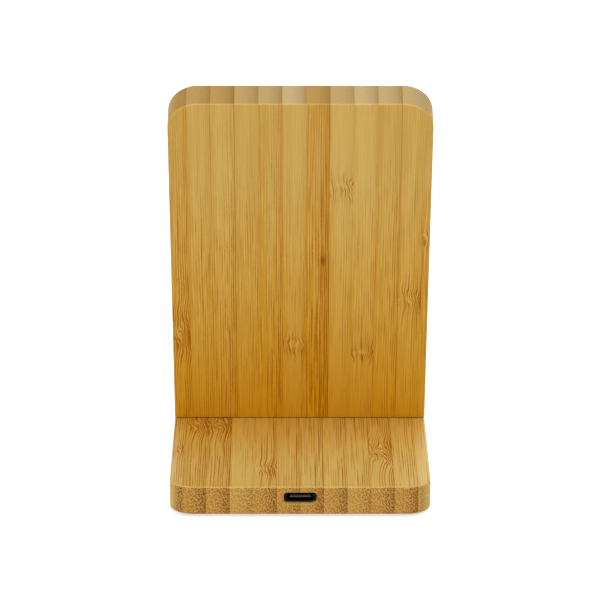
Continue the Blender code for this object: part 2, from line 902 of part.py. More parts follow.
def make_ferrite(name, centre_y, exit_way, side_way):
    """A square plate with an eye and a slot, where the coil's inner lead passes under the turns."""
    half = ferrite_side / 2
    plate_box = box(name, (-half, centre_y - half, ferrite_low), (half, centre_y + half, ferrite_high))
    put_in_backrest(plate_box)
    eye = rod(
        name + "_eye", eye_radius,
        (0, centre_y, ferrite_low - cut_overrun), (0, centre_y, ferrite_high + cut_overrun), 2 * hole_sides,
    )
    centre = Vector((0, centre_y))
    slot_half = wire_diameter / 2 + turn_gap
    near = centre + side_way * (lead_offset - slot_half)
    far = centre + side_way * (lead_offset + slot_half) + exit_way * (half + cut_overrun)
    slot = box(
        name + "_slot",
        (min(near.x, far.x), min(near.y, far.y), ferrite_low - cut_overrun),
        (max(near.x, far.x), max(near.y, far.y), ferrite_high + cut_overrun),
    )
    put_in_backrest(eye, slot)
    cut(plate_box, eye, slot)
    return finish(plate_box, ferrite_grey)


def with_rounded_bends(points, radius):
    """A path through the points, with each inner corner turned into an arc."""
    path = [points[0]]
    for before, corner, after in zip(points, points[1:], points[2:]):
        back = (before - corner).normalized()
        ahead = (after - corner).normalized()
        half = back.angle(ahead) / 2
        middle = corner + (back + ahead).normalized() * (radius / math.sin(half))
        start = corner + back * (radius / math.tan(half)) - middle
        end = corner + ahead * (radius / math.tan(half)) - middle
        turn = start.rotation_difference(end)
        for i in range(bend_steps + 1):
            share = i / bend_steps
            step = turn.copy()
            step.angle = turn.angle * share
            path.append(middle + step @ start)
    path.append(points[-1])
    return path


def lead_in_base(x, level, fan_x):
    """World points of one lead, from its pad on the circuit board to the cable bore."""
    inner = level == under_level
    run_z = lead_z + (lead_pitch if inner else 0)
    bend_y = seam_y + level / lean_cosine + (base_top - run_z) * bore_slope
    bend = Vector((-x, bend_y, run_z))
    end = Vector((-fan_x, circuit_front - pad_length, lead_z))
    if not inner:
        return [end, bend]
    dip_start = Vector((-fan_x, end.y + pad_length + lead_pitch, lead_z))
    dip_end = Vector((-x, bend_y - 3 * wire_bend_radius, run_z))
    return [end, dip_start, dip_end, bend]


def smooth_step(share):
    return share * share * (3 - 2 * share)


def coil_points(centre_y, exit_way, side_way):
    """The spiral from its outer end inwards, then the curl that dips into the ferrite's eye."""

    def place(across, out, level):
        flat = Vector((0, centre_y)) + side_way * across + exit_way * out
        return in_backrest(flat.x, flat.y, level)

    join_across = lead_offset + lead_join_share * wire_bend_radius
    start_angle = math.pi / 2 - math.asin(join_across / coil_outer_radius)
    total = coil_turns * coil_steps
    points = []
    for i in range(total + 1):
        angle = start_angle - 2 * math.pi * i / coil_steps
        radius = coil_outer_radius - lead_pitch * i / coil_steps
        points.append(place(radius * math.cos(angle), radius * math.sin(angle), coil_level))
    tangent = (math.sin(start_angle), -math.cos(start_angle))
    first = (coil_outer_radius * math.cos(start_angle), coil_outer_radius * math.sin(start_angle))
    back = (first[0] - lead_offset) / tangent[0]
    corner = place(lead_offset, first[1] - back * tangent[1], coil_level)

    curl_angle = start_angle + math.pi
    for i in range(1, coil_steps + 1):
        share = i / coil_steps
        drawn = smooth_step(share)
        angle = start_angle - curl_angle * share
        radius = coil_inner_radius + (curl_radius - coil_inner_radius) * drawn
        middle = (lead_offset + curl_radius) * drawn
        dip = smooth_step(max(0, (share - dip_start_share) / (1 - dip_start_share)))
        level = coil_level - lead_pitch * dip
        points.append(place(middle + radius * math.cos(angle), radius * math.sin(angle), level))
    return corner, points


def least_gap_to_itself(points):
    """The smallest gap between two stretches of one wire that aren't neighbours along it."""
    lengths = [0.0]
    for before, after in zip(points, points[1:]):
        lengths.append(lengths[-1] + (after - before).length)
    apart = 4 * wire_diameter
    least = math.inf
    for i, first in enumerate(points):
        for j in range(i + 1, len(points) - 1):
            if lengths[j] - lengths[i] < apart:
                continue
            a = points[j]
            b = points[j + 1]
            along = max(0, min(1, (first - a).dot(b - a) / (b - a).length_squared))
            least = min(least, (first - a - (b - a) * along).length)
    return least - wire_diameter


def make_coil(name, centre_y, exit_way, side_way, lane, x, fan_x):
    """One coil: a single tube from its first pad, round the spiral and back to its second pad."""
    corner, spiral = coil_points(centre_y, exit_way, side_way)
    outer_lane = [in_backrest(a, b, coil_level) for a, b in lane]
    inner_lane = [in_backrest(a, b, under_level) for a, b in lane]
    outer_lead = lead_in_base(x, coil_level, x) + outer_lane + [corner, spiral[0]]
    inner_lead = lead_in_base(x, under_level, fan_x) + inner_lane + [spiral[-1]]
    outer = with_rounded_bends(outer_lead, wire_bend_radius)
    inner = with_rounded_bends(inner_lead, wire_bend_radius)
    path = outer[:-1] + spiral + list(reversed(inner[:-1]))
    curve = bpy.data.curves.new(name, "CURVE")
    curve.dimensions = "3D"
    curve.bevel_depth = wire_diameter / 2
    curve.bevel_resolution = 1
    curve.use_fill_caps = True
    spline = curve.splines.new("POLY")
    spline.points.add(len(path) - 1)
    for point, place in zip(spline.points, path):
        point.co = (*place, 1)
    coil = bpy.data.objects.new(name, curve)
    parts.objects.link(coil)
    curve.materials.append(litz_copper)
    gap = least_gap_to_itself(path)
    print(f"{name}: {coil_turns} turns, {len(path)} points, least gap to itself {gap * 1000:.3f} mm")


base_board = make_base_board()
backrest_board = make_backrest_board()
cable_drop = (base_top - bay_ceiling + bore_level * lean_sine) / lean_cosine + cut_overrun
bore_through("cable_bore", cable_bore_radius, 0, bore_level, -cable_drop, pocket_foot + cut_overrun / 2,
             base_board, backrest_board)
make_dowels(base_board, backrest_board)
make_backrest_screws(base_board, backrest_board)
make_front_cover()
make_phone_lip()
make_shelf_pad()
make_base_cover(base_board)
make_feet()
make_main_board(base_board)
make_receptacle()
resonant_places = places_in_rows(
    resonant_capacitor_size, resonant_capacitor_gap, resonant_capacitor_count, resonant_row_share
)
chip_places = places_by_shares(chip_place_shares)
power_switch_places = places_by_shares(power_switch_place_shares)
inductor_places = places_by_shares(inductor_place_shares)
input_capacitor_places = places_by_shares(input_capacitor_place_shares)
make_components("control_chip", chip_size, chip_places, chip_plastic)
make_components("power_switch", power_switch_size, power_switch_places, chip_plastic)
make_components("power_inductor", inductor_size, inductor_places, ferrite_grey)
make_components("input_capacitor", input_capacitor_size, input_capacitor_places, capacitor_ceramic)
make_components("resonant_capacitor", resonant_capacitor_size, resonant_places, capacitor_ceramic)
make_coil_carrier()

# The lower coil's leads leave it downwards, and the upper coil's leave it sideways, past the lower coil
down = Vector((0, -1))
left = Vector((-1, 0))
right = Vector((1, 0))
make_ferrite("lower_ferrite", lower_centre_y, down, right)
make_ferrite("upper_ferrite", upper_centre_y, left, down)
upper_lane = [
    (-lead_offset, foot_lane_y),
    (left_lane_x, foot_lane_y),
    (left_lane_x, upper_centre_y - lead_offset),
]
make_coil("lower_coil", lower_centre_y, down, right, [], lead_offset, lead_fan)
make_coil("upper_coil", upper_centre_y, left, down, upper_lane, -lead_offset, -lead_fan)
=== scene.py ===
# %% [markdown]
# # A bamboo phone stand that charges
# The real object is a board of glued bamboo strips on rubber feet, with a second one leaning over it.
# A phone rests against the far side, and the photograph shows the plain back, the rear half of the
# foot board and the socket in its edge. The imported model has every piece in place, with plain
# surfaces, and this lesson dresses it.

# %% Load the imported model
import json
from math import asin, cos, degrees, pi, radians, sin, sqrt, tan

import bmesh
import bpy
from mathutils import Matrix, Vector


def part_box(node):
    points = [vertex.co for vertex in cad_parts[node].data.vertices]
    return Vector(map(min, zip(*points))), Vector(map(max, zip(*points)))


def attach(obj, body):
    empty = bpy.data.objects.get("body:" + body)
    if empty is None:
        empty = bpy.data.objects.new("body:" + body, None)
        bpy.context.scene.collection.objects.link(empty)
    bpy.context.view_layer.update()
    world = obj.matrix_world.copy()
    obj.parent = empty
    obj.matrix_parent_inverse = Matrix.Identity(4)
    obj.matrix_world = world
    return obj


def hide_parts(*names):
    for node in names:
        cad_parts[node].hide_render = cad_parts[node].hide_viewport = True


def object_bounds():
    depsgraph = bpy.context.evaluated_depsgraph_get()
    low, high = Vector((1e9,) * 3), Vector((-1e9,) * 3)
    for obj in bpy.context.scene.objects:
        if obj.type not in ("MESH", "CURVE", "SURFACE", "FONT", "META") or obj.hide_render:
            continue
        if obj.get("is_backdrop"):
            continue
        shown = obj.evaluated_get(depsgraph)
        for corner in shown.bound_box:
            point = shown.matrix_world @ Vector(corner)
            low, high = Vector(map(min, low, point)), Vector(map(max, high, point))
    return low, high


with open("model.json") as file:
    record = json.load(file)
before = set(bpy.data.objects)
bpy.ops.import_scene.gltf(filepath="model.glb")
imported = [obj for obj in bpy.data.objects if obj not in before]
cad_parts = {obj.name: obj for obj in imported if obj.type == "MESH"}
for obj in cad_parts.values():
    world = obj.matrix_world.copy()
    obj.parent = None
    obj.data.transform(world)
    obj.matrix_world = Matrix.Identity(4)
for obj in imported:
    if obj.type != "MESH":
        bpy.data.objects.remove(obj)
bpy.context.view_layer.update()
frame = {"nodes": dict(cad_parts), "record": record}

# %% [markdown]
# ## Reading sizes off the model
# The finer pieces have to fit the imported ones, and copied numbers would go stale. So the model is
# asked: a box gives an upright piece's corners, and a measure along a direction a leaning one's ends.

# %% Sizes of the two boards
def corners_of(node):
    return [corner.co for corner in frame["nodes"][node].data.vertices]


def reach_along(node, direction):
    """How low and how high a piece reaches along a direction."""
    reaches = [corner.dot(direction) for corner in corners_of(node)]
    return min(reaches), max(reaches)


def in_mm(*lengths):
    return [round(length * 1000, 2) for length in lengths]


base_low, base_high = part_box("base_board")
rear_edge, base_bottom = base_low.yz
half_width, front_edge, base_top = base_high
seat_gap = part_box("phone_lip")[0].z - base_top
phone_rest = next(mount for mount in frame["record"]["mounts"] if mount["name"] == "phone_support")
rear_way = -Vector(phone_rest["axis"])
lean_angle = asin(-rear_way.z)
up_slope = Vector((0, -sin(lean_angle), cos(lean_angle)))
front_level, rear_level = reach_along("backrest_board", rear_way)
backrest_thickness = rear_level - front_level
seam = Vector((0, (rear_level - rear_way.z * base_top) / rear_way.y, base_top))
backrest_height = reach_along("backrest_board", up_slope)[1] - seam.dot(up_slope)
print("width, height and thickness:", in_mm(2 * half_width, backrest_height, backrest_thickness))
print("the leaning board leans", round(degrees(lean_angle), 1), "degrees")

# %% [markdown]
# ## Two drawing boards
# A carpenter lays a leaning board flat to draw on it, and so does the script: x is across, y up the
# slope and z out of the rear face, for the grain too, and one matrix stands it up. The foot board
# gets a frame from its rear edge forwards.

# %% The two boards' own axes
slope_axes = Matrix((Vector((1, 0, 0)), up_slope, rear_way)).transposed()
slope_frame = Matrix.Translation(seam) @ slope_axes.to_4x4()
foot_frame = Matrix.Translation((0, rear_edge, base_top))
level_frame = Matrix.Identity(4)
base_depth = front_edge - rear_edge
base_thickness = base_top - base_bottom


def span_in(frame_matrix, node):
    """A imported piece's lowest and highest corner in another frame."""
    back = frame_matrix.inverted()
    by_axis = list(zip(*(back @ corner for corner in corners_of(node))))
    return Vector([min(places) for places in by_axis]), Vector([max(places) for places in by_axis])


for corner in span_in(slope_frame, "backrest_board"):
    print("a corner of the leaning board in its own axes:", in_mm(*corner))

# %% [markdown]
# ## A bench of mesh tools
# The boards are flat shapes, cut by other flat shapes: bmesh pulls an outline up, a Bevel modifier
# rounds the rim as a sanding block does, and Booleans cut. All is settled into plain mesh, and
# Weighted Normal keeps the wide faces flat beside the roundings.

# %% Outlines, slabs and cuts
def arc(middle_x, middle_y, radius, start, steps, sweep=pi / 2):
    angles = [start + sweep * i / steps for i in range(steps + 1)]
    return [(middle_x + radius * cos(a), middle_y + radius * sin(a)) for a in angles]


def rectangle(low, high):
    return [(low[0], low[1]), (high[0], low[1]), (high[0], high[1]), (low[0], high[1])]


def round_outline(low, high, radius, steps=24):
    inner = rectangle((low[0] + radius, low[1] + radius), (high[0] - radius, high[1] - radius))
    starts = (pi, -pi / 2, 0.0, pi / 2)
    rounds = [arc(x, y, radius, start, steps) for (x, y), start in zip(inner, starts)]
    return sum(rounds[1:] + rounds[:1], [])


def put_in_scene(name, data, matrix):
    made = bpy.data.objects.new(name, data)
    bpy.context.scene.collection.objects.link(made)
    made.matrix_world = matrix
    return made


def new_piece(name, work, matrix=level_frame):
    """A smooth object from a bmesh, placed by a matrix."""
    bmesh.ops.recalc_face_normals(work, faces=work.faces)
    mesh = bpy.data.meshes.new(name)
    work.to_mesh(mesh)
    work.free()
    mesh.shade_smooth()
    return put_in_scene(name, mesh, matrix)


def slab(name, outline, low, high, matrix=level_frame):
    """An outline pulled up from height low to height high."""
    work = bmesh.new()
    face = work.faces.new([work.verts.new((x, y, low)) for x, y in outline])
    pulled = bmesh.ops.extrude_face_region(work, geom=[face])
    raised = [item for item in pulled["geom"] if isinstance(item, bmesh.types.BMVert)]
    bmesh.ops.translate(work, vec=(0, 0, high - low), verts=raised)
    return new_piece(name, work, matrix)


def skin(work, rings, steps):
    """Faces between neighbouring rings. A ring may be a single point."""
    for near, far in zip(rings, rings[1:]):
        for i in range(steps):
            j = (i + 1) % steps
            around = [(near, i), (near, j), (far, j), (far, i)]
            work.faces.new(list(dict.fromkeys(ring[k % len(ring)] for ring, k in around)))


def turned(name, profile, matrix, steps=64):
    """A lathe piece from (radius, height) points, from axis to axis."""
    work = bmesh.new()
    rings = []
    for radius, height in profile:
        circle = arc(0, 0, radius, 0, steps, 2 * pi)[:-1] if radius else [(0, 0)]
        rings.append([work.verts.new((x, y, height)) for x, y in circle])
    skin(work, rings, steps)
    return new_piece(name, work, matrix)


def modify(piece, name, kind, **settings):
    step = piece.modifiers.new(name, kind)
    for setting, value in settings.items():
        setattr(step, setting, value)


def settle(piece):
    """Turns modifiers into plain mesh, with crisp edges marked and wide faces flat."""
    bpy.context.view_layer.update()
    evaluated = piece.evaluated_get(bpy.context.evaluated_depsgraph_get())
    settled = bpy.data.meshes.new_from_object(evaluated)
    old = piece.data
    piece.modifiers.clear()
    piece.data = settled
    bpy.data.meshes.remove(old)
    settled.shade_smooth()
    settled.set_sharp_from_angle(angle=radians(35))
    modify(piece, "wide faces lead", "WEIGHTED_NORMAL", keep_sharp=True)
    print(piece.name, "has", len(settled.polygons), "faces")
    return piece


def soften(piece, width, segments=5):
    """Rounds every sharp edge, as sanding does."""
    modify(piece, "sanded edges", "BEVEL", width=width, segments=segments,
           limit_method="ANGLE", angle_limit=radians(40))


def work_with(piece, operation, tools):
    """Cuts, joins or intersects a piece with tools, and throws them away."""
    for tool in tools:
        modify(piece, tool.name, "BOOLEAN", operation=operation, object=tool)
    settle(piece)
    for tool in tools:
        bpy.data.objects.remove(tool)
    return piece


overrun = 0.002
print("cutters reach", in_mm(overrun), "mm too far, for a clean cut")

# %% [markdown]
# ## Slot shapes
# A USB-C socket's shell is a slot with half-round ends, and the hole in the wood is squarer. One tool
# sweeps a section of the wall, a list of depth and growth, round either: closed it gives a sleeve,
# and open, with two lids, a plug that cuts.

# %% Sweep a section round a slot
def swept_slot(name, width, height, corner, section, closed):
    """Sweeps (depth, growth) points round a slot."""
    work = bmesh.new()
    rings = []
    for depth, growth in section:
        x, z = width / 2 + growth, height / 2 + growth
        outline = round_outline((-x, -z), (x, z), corner + growth, 16)
        rings.append([work.verts.new((x, depth, z)) for x, z in outline])
    if closed:
        rings.append(rings[0])
    else:
        work.faces.new(rings[0])
        work.faces.new(rings[-1])
    skin(work, rings, len(outline))
    return new_piece(name, work, Matrix.Translation((0, 0, port_middle_z)))


shell_low, shell_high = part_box("usb_c_shell")
tongue_low, tongue_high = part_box("usb_c_tongue")
shell_width = shell_high.x - shell_low.x
shell_height = 0.00316
shell_slot = (shell_width, shell_height, 0.499 * shell_height)
port_middle_z = shell_high.z - shell_height / 2
print("the socket's width and its depth in the wood:", in_mm(shell_width, shell_low.y - rear_edge))

# %% [markdown]
# ## The foot board
# One board of edge-glued bamboo with round corners and sanded edges, hollowed from below for the
# circuit board, the cover and the feet, as the real one has to be, and slotted for the plug.

# %% Sizes for the foot board's cuts
base_corner_radius = 0.007
edge_round = 0.0005
fit_gap = 0.0003
hole_gap = 0.0002
board_ledge = 0.005
bay_ceiling_wall = 0.0013
channel_half_width = 0.0038
slot_clearance = (0.00025, 0.00015)
slot_rim = 0.00016
slot_corner = 0.001
cover_low, cover_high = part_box("base_cover")
cover_skin = 0.0012
circuit_low, circuit_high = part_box("main_board")
pad_low, pad_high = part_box("shelf_pad")
bay_ceiling = base_top - bay_ceiling_wall
channel_front = cover_high.y - 0.0025
pocket_corner = 0.002
cover_corner = 0.003
feet = [f"foot_{i}" for i in range(1, 5)]
cover_screws = [f"cover_screw_{i}" for i in range(1, 5)]
long_screws = ["backrest_screw_left", "backrest_screw_right"]
dowels = ["dowel_left", "dowel_right"]
print("the width of the circuit board's hollow:", in_mm(2 * (circuit_high.x + fit_gap)))


# %% Tools for round holes
def pin_frame(place, direction):
    """Axes with z along a direction, from a place."""
    return Matrix.Translation(place) @ direction.to_track_quat("Z", "Y").to_matrix().to_4x4()


def measure_pin(node, direction):
    """A round piece's own axes at its low end, its length and its largest radius."""
    corners = corners_of(node)
    low, high = reach_along(node, direction)
    middle = sum(corners, Vector()) / len(corners)
    foot = middle - direction * middle.dot(direction)
    radius = max((corner - direction * corner.dot(direction) - foot).length for corner in corners)
    return pin_frame(foot + direction * low, direction), high - low, radius


def drill(name, place, low, high, radius):
    """A round cutter along a piece's own axis, from low to high."""
    return turned(name, [(0, low), (radius, low), (radius, high), (0, high)], place, 32)


upright = Vector((0, 0, 1))
for node, way in (("foot_1", upright), ("dowel_left", up_slope), ("backrest_screw_left", up_slope)):
    print(node, "length and radius:", in_mm(*measure_pin(node, way)[1:]))


# %% Cut the foot board
def flat_tool(name, low, high, bottom, top, radius):
    return slab(name, round_outline(low, high, radius, 6), bottom, top)


def grown(low, high, growth):
    return (low.x - growth, low.y - growth), (high.x + growth, high.y + growth)


below = base_bottom - overrun
pocket_low, pocket_high = grown(circuit_low, circuit_high, fit_gap)
bay_low = (pocket_low[0] + board_ledge, pocket_low[1])
bay_high = (pocket_high[0] - board_ledge, pocket_high[1])
channel_rear = pocket_high[1] - 2 * overrun
cover_seat = base_bottom + cover_skin + seat_gap
board_tools = [
    flat_tool("cover step", *grown(cover_low, cover_high, fit_gap), below, cover_seat, cover_corner),
    flat_tool("board pocket", pocket_low, pocket_high, below, circuit_high.z + hole_gap, pocket_corner),
    flat_tool("component bay", bay_low, bay_high, below, bay_ceiling, pocket_corner),
    flat_tool("lead channel", (-channel_half_width, channel_rear), (channel_half_width, channel_front),
              below, bay_ceiling, pocket_corner),
    flat_tool("pad seat", *grown(pad_low, pad_high, fit_gap), pad_low.z - seat_gap,
              base_top + overrun, (pad_high.y - pad_low.y) / 2),
]
rim = arc(slot_rim, slot_rim, slot_rim, -pi / 2, 6, -pi / 2)
mouth = [(-overrun, slot_rim + overrun)] + [(x, slot_rim - y) for y, x in rim][::-1]
section = [(rear_edge + depth, growth) for depth, growth in mouth]
section.append((pocket_low[1] + overrun, 0.0))
slot = (shell_width + 2 * slot_clearance[0], shell_height + 2 * slot_clearance[1], slot_corner)
board_tools.append(swept_slot("plug slot", *slot, section, False))
for node in feet:
    place, length, radius = measure_pin(node, upright)
    board_tools.append(drill(node + " seat", place, 0, length + seat_gap, radius + fit_gap))
print(len(board_tools), "cutters, the rounding of the plug slot's rim:", in_mm(slot_rim))

# %% [markdown]
# ## Holes that follow the slope
# Two dowels and two long screws join the boards along the slope. Their holes pass through both, so
# the same cutters serve for both, and so does the bore for the coil wires.

# %% Cutters along the slope
bore_radius = 0.0022
bore_low = -0.0053
bore_high = 0.0135
screw_shank_radius = 0.0015
screw_head_height = 0.0018
screw_point = 0.003


def bore_depth():
    """How deep the wires lie in the leaning board."""
    to_board = slope_frame.inverted()
    places = [to_board @ corner for node in ("lower_coil", "upper_coil") for corner in corners_of(node)]
    depths = [place.z for place in places if place.y > bore_high]
    return (min(depths) + max(depths)) / 2


def slope_tools():
    start = slope_frame @ Vector((0, bore_low, bore_depth()))
    tools = [drill("wire bore", pin_frame(start, up_slope), 0, bore_high - bore_low, bore_radius)]
    for node in dowels:
        place, length, radius = measure_pin(node, up_slope)
        tools.append(drill(node + " hole", place, -seat_gap, length + seat_gap, radius + hole_gap))
    for node in long_screws:
        place, length, radius = measure_pin(node, up_slope)
        shoulder = screw_head_height + seat_gap
        tools.append(drill(node + " seat", place, -3 * overrun, shoulder, radius + hole_gap))
        tools.append(drill(node + " hole", place, 0, length + seat_gap, screw_shank_radius + hole_gap))
    return tools


base_outline = round_outline((-half_width, 0), (half_width, base_depth), base_corner_radius, 32)
foot_board = slab("bamboo_foot_board", base_outline, -base_thickness, 0, foot_frame)
soften(foot_board, edge_round)
work_with(foot_board, "DIFFERENCE", board_tools + slope_tools())
print("the wires lie", in_mm(-bore_depth()), "mm deep")

# %% [markdown]
# ## The leaning board
# It is drawn flat and too long at its foot, and sawn off level for the exact mitre of the joint. Its
# pocket for the coils opens to the phone side, with a step for the panel round it.

# %% Cut the leaning board
backrest_corner_radius = 0.0086
panel_thickness = 0.0022
ledge_width = 0.002
backrest_wall = 0.0026
top_sanding = 0.00005
panel_low, panel_high = span_in(slope_frame, "front_cover")
step_radius = 0.005

spare = backrest_thickness * tan(lean_angle) + overrun
square_end = [(-half_width, -spare), (half_width, -spare)]
inset = backrest_corner_radius
shoulder = backrest_height - top_sanding - inset
right = arc(half_width - inset, shoulder, inset, 0, 32)
left = arc(inset - half_width, shoulder, inset, pi / 2, 32)
board = slab("bamboo_leaning_board", square_end + right + left, -backrest_thickness, 0, slope_frame)
soften(board, edge_round)
saw_outline = round_outline((-2 * half_width, rear_edge), (2 * half_width, front_edge), edge_round, 1)
saw = slab("saw", saw_outline, base_bottom, base_top + seat_gap)
outside = -backrest_thickness - overrun
step_outline = round_outline(*grown(panel_low, panel_high, fit_gap), step_radius, 12)
step_floor = -backrest_thickness + panel_thickness + seat_gap
step = slab("panel step", step_outline, outside, step_floor, slope_frame)
pocket_corners = grown(panel_low, panel_high, fit_gap - ledge_width)
pocket_outline = round_outline(*pocket_corners, step_radius - ledge_width, 12)
pocket = slab("coil pocket", pocket_outline, outside, -backrest_wall, slope_frame)
backrest = work_with(board, "DIFFERENCE", [saw, step, pocket] + slope_tools())

# %% [markdown]
# ## The panel, the lip and the pad
# The panel lies flush in its step, with a hair of a shadow line. The lip that stops the phone is cut
# from the foot board's own outline. The pad is a silicone strip with round ends, ribbed for grip.

# %% Make the panel and the lip
panel_round = 0.00025
panel_outline = round_outline(panel_low, panel_high, step_radius - fit_gap, 12)
panel = slab("bamboo_front_panel", panel_outline, panel_low.z, panel_high.z, slope_frame)
soften(panel, panel_round, 3)
settle(panel)

lip_low, lip_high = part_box("phone_lip")
lip = slab("bamboo_phone_lip", base_outline, lip_low.z - base_top, lip_high.z - base_top, foot_frame)
band_outline = rectangle((-2 * half_width, lip_low.y), (2 * half_width, 2 * front_edge))
band = slab("lip band", band_outline, base_bottom, 2 * lip_high.z)
work_with(lip, "INTERSECT", [band])
soften(lip, edge_round)
settle(lip)

# %% Make the silicone pad
pad_rib_pitch = 0.0016
pad_rib_depth = 0.00012
pad_steps = 220

length = pad_high.x - pad_low.x
half_depth = (pad_high.y - pad_low.y) / 2
middle_y = (pad_low.y + pad_high.y) / 2
edge = 0.0002
work = bmesh.new()
rows = []
for i in range(pad_steps + 1):
    x = -length / 2 + length * (1 - cos(pi * i / pad_steps)) / 2
    from_end = min(x + length / 2, length / 2 - x)
    bow = sqrt(max(0.0, half_depth ** 2 - max(0.0, half_depth - from_end) ** 2))
    wide = max(bow, edge)
    wave = pad_rib_depth * (1 - cos(2 * pi * x / pad_rib_pitch)) / 2
    top = pad_high.z - wave * min(1.0, from_end / half_depth)
    cut = edge * 0.3
    right = [(wide, pad_low.z), (wide, top - edge), (wide - cut, top - cut), (wide - edge, top)]
    left = [(-y, z) for y, z in reversed(right)]
    section = [left[-1]] + right + [(0, top)] + left[:-1]
    rows.append([work.verts.new((x, middle_y + y, z)) for y, z in section])
skin(work, rows, len(section))
work.faces.new(rows[0])
work.faces.new(rows[-1])
pad = settle(new_piece("silicone_shelf_pad", work))

# %% [markdown]
# ## Feet
# A moulded rubber foot has a rounded rim and a slightly dished face, so that it holds by its ring. A
# lathe profile gives both at once.

# %% Make the feet
foot_rim = 0.00045
dish_depth = 0.00008
dish_share = 0.72


def foot_profile(radius, height):
    rim = arc(radius - foot_rim, foot_rim, foot_rim, -pi / 2, 8)
    edge = radius * dish_share
    dish = [(0, dish_depth), (edge * 0.6, dish_depth), (edge, dish_depth / 3), (edge + foot_rim / 2, 0)]
    return dish + rim + [(radius, height), (0, height)]


rubber_feet = []
for i, node in enumerate(feet, 1):
    place, length, radius = measure_pin(node, upright)
    place = Matrix.Translation(place.translation)
    rubber_feet.append(settle(turned(f"rubber_foot_{i}", foot_profile(radius, length), place)))

# %% [markdown]
# ## Screws and the plastic cover
# A screw's head is turned on the lathe, and two bars that narrow as a driver's tip does cut the cross.
# The cover is a moulded plate, drilled with the cone of its screws' heads.

# %% Make the screws
cross_width = 0.0007
cross_taper = 0.55


def tapered_bar(name, length, width, depth, matrix):
    """A cutter for one arm of a cross, narrow at the bottom."""
    work = bmesh.new()
    bmesh.ops.create_cube(work, size=1)
    for corner in work.verts:
        share = cross_taper if corner.co.z > 0 else 1.0
        corner.co.x *= length * share
        corner.co.y *= width * share
        corner.co.z = depth if corner.co.z > 0 else -depth
    return new_piece(name, work, matrix)


def screw(name, node, direction, profile_of, cross_share):
    place, length, radius = measure_pin(node, direction)
    made = turned(name, profile_of(radius, length), place, 48)
    arms = []
    for i in range(2):
        turn = place @ Matrix.Rotation(i * pi / 2, 4, "Z")
        arms.append(tapered_bar(name + " arm", radius * cross_share, cross_width, radius * 0.45, turn))
    return work_with(made, "DIFFERENCE", arms)


def pan_profile(radius, length):
    """A pan head on a shank that ends in a point."""
    crown = [(radius * sin(a), 0.12 * screw_head_height * (1 - cos(a)) / (1 - cos(1.0)))
             for a in (0.0, 0.3, 0.6, 0.9)]
    return crown + [(radius, 0.3 * screw_head_height), (radius, screw_head_height),
                    (screw_shank_radius, screw_head_height), (screw_shank_radius, length - screw_point),
                    (0, length)]


def countersunk_profile(radius, length):
    shank = radius / 2
    rim = radius * 0.03
    head = [(0, 0), (radius - rim, 0), (radius, rim)]
    return head + [(shank, radius - shank), (shank, length - 2 * shank), (0, length)]


long_fasteners = [screw(f"steel_screw_{i}", node, up_slope, pan_profile, 1.1)
                  for i, node in enumerate(long_screws, 1)]
cover_fasteners = [screw(f"steel_cover_screw_{i}", node, upright, countersunk_profile, 1.0)
                   for i, node in enumerate(cover_screws, 1)]

# %% Make the plastic cover
rib_thickness = 0.0012
rib_shares = (0.35, 0.7)

outline = round_outline(cover_low, cover_high, cover_corner, 12)
cover = slab("plastic_base_cover", outline, base_bottom, base_bottom + cover_skin)
soften(cover, 0.00015, 3)
tools = []
for node in cover_screws:
    place, length, radius = measure_pin(node, upright)
    shank = radius / 2 + hole_gap
    cone = [(0, -overrun), (radius + hole_gap + overrun, -overrun),
            (shank, radius + hole_gap - shank), (shank, 2 * cover_skin), (0, 2 * cover_skin)]
    tools.append(turned(node + " countersink", cone, Matrix.Translation(place.translation), 48))
work_with(cover, "DIFFERENCE", tools)
ribs = []
half = circuit_high.x - board_ledge
for share in rib_shares:
    y = circuit_low.y + share * (circuit_high.y - circuit_low.y)
    rib = rectangle((-half, y - rib_thickness / 2), (half, y + rib_thickness / 2))
    ribs.append(slab("rib", rib, base_bottom + cover_skin / 2, cover_high.z))
cover = work_with(cover, "UNION", ribs)

# %% [markdown]
# ## The socket
# A USB-C socket is a steel shell round a black moulded tongue with gold contacts. The photograph
# shows a dark slot with one grey line, the tongue's front edge, which needs all at its real depth.

# %% Make the steel shell
shell_wall = 0.0003
leg_width = 0.0011

lip_round = arc(shell_wall / 2, -shell_wall / 2, shell_wall / 2, pi / 2, 8, pi)
front = [(shell_low.y + x, y) for x, y in lip_round]
section = [(shell_high.y, 0.0)] + front + [(shell_high.y, -shell_wall)]
shell = swept_slot("steel_port_shell", *shell_slot, section, True)
legs = []
leg_x = shell_width / 2 - shell_wall / 2
for x in (-leg_x, leg_x):
    for y in (circuit_low.y + leg_width, shell_high.y - leg_width):
        low = (x - shell_wall / 2, y - leg_width / 2)
        high = (x + shell_wall / 2, y + leg_width / 2)
        legs.append(slab("leg", rectangle(low, high), shell_low.z, port_middle_z))
shell = work_with(shell, "UNION", legs)

# %% Make the tongue and its contacts
tongue_width = 0.00669
tongue_thickness = 0.0007
block_length = 0.0024
contact_pitch = 0.0005
contact_width = 0.00027
contact_count = 12
contact_rise = 0.00002

gap = 0.00015
block_front = tongue_high.y - block_length
section = [(block_front, -gap - shell_wall - 0.0001), (block_front + 0.0001, -gap - shell_wall),
           (tongue_high.y, -gap - shell_wall)]
block = swept_slot("black_port_tongue", *shell_slot, section, False)
low = (-tongue_width / 2, tongue_low.y)
high = (tongue_width / 2, block_front + gap)
half = tongue_thickness / 2
blade_outline = round_outline(low, high, 0.0006, 8)
blade = slab("blade", blade_outline, port_middle_z - half, port_middle_z + half)
soften(blade, 0.00025, 4)
tongue = work_with(block, "UNION", [blade])

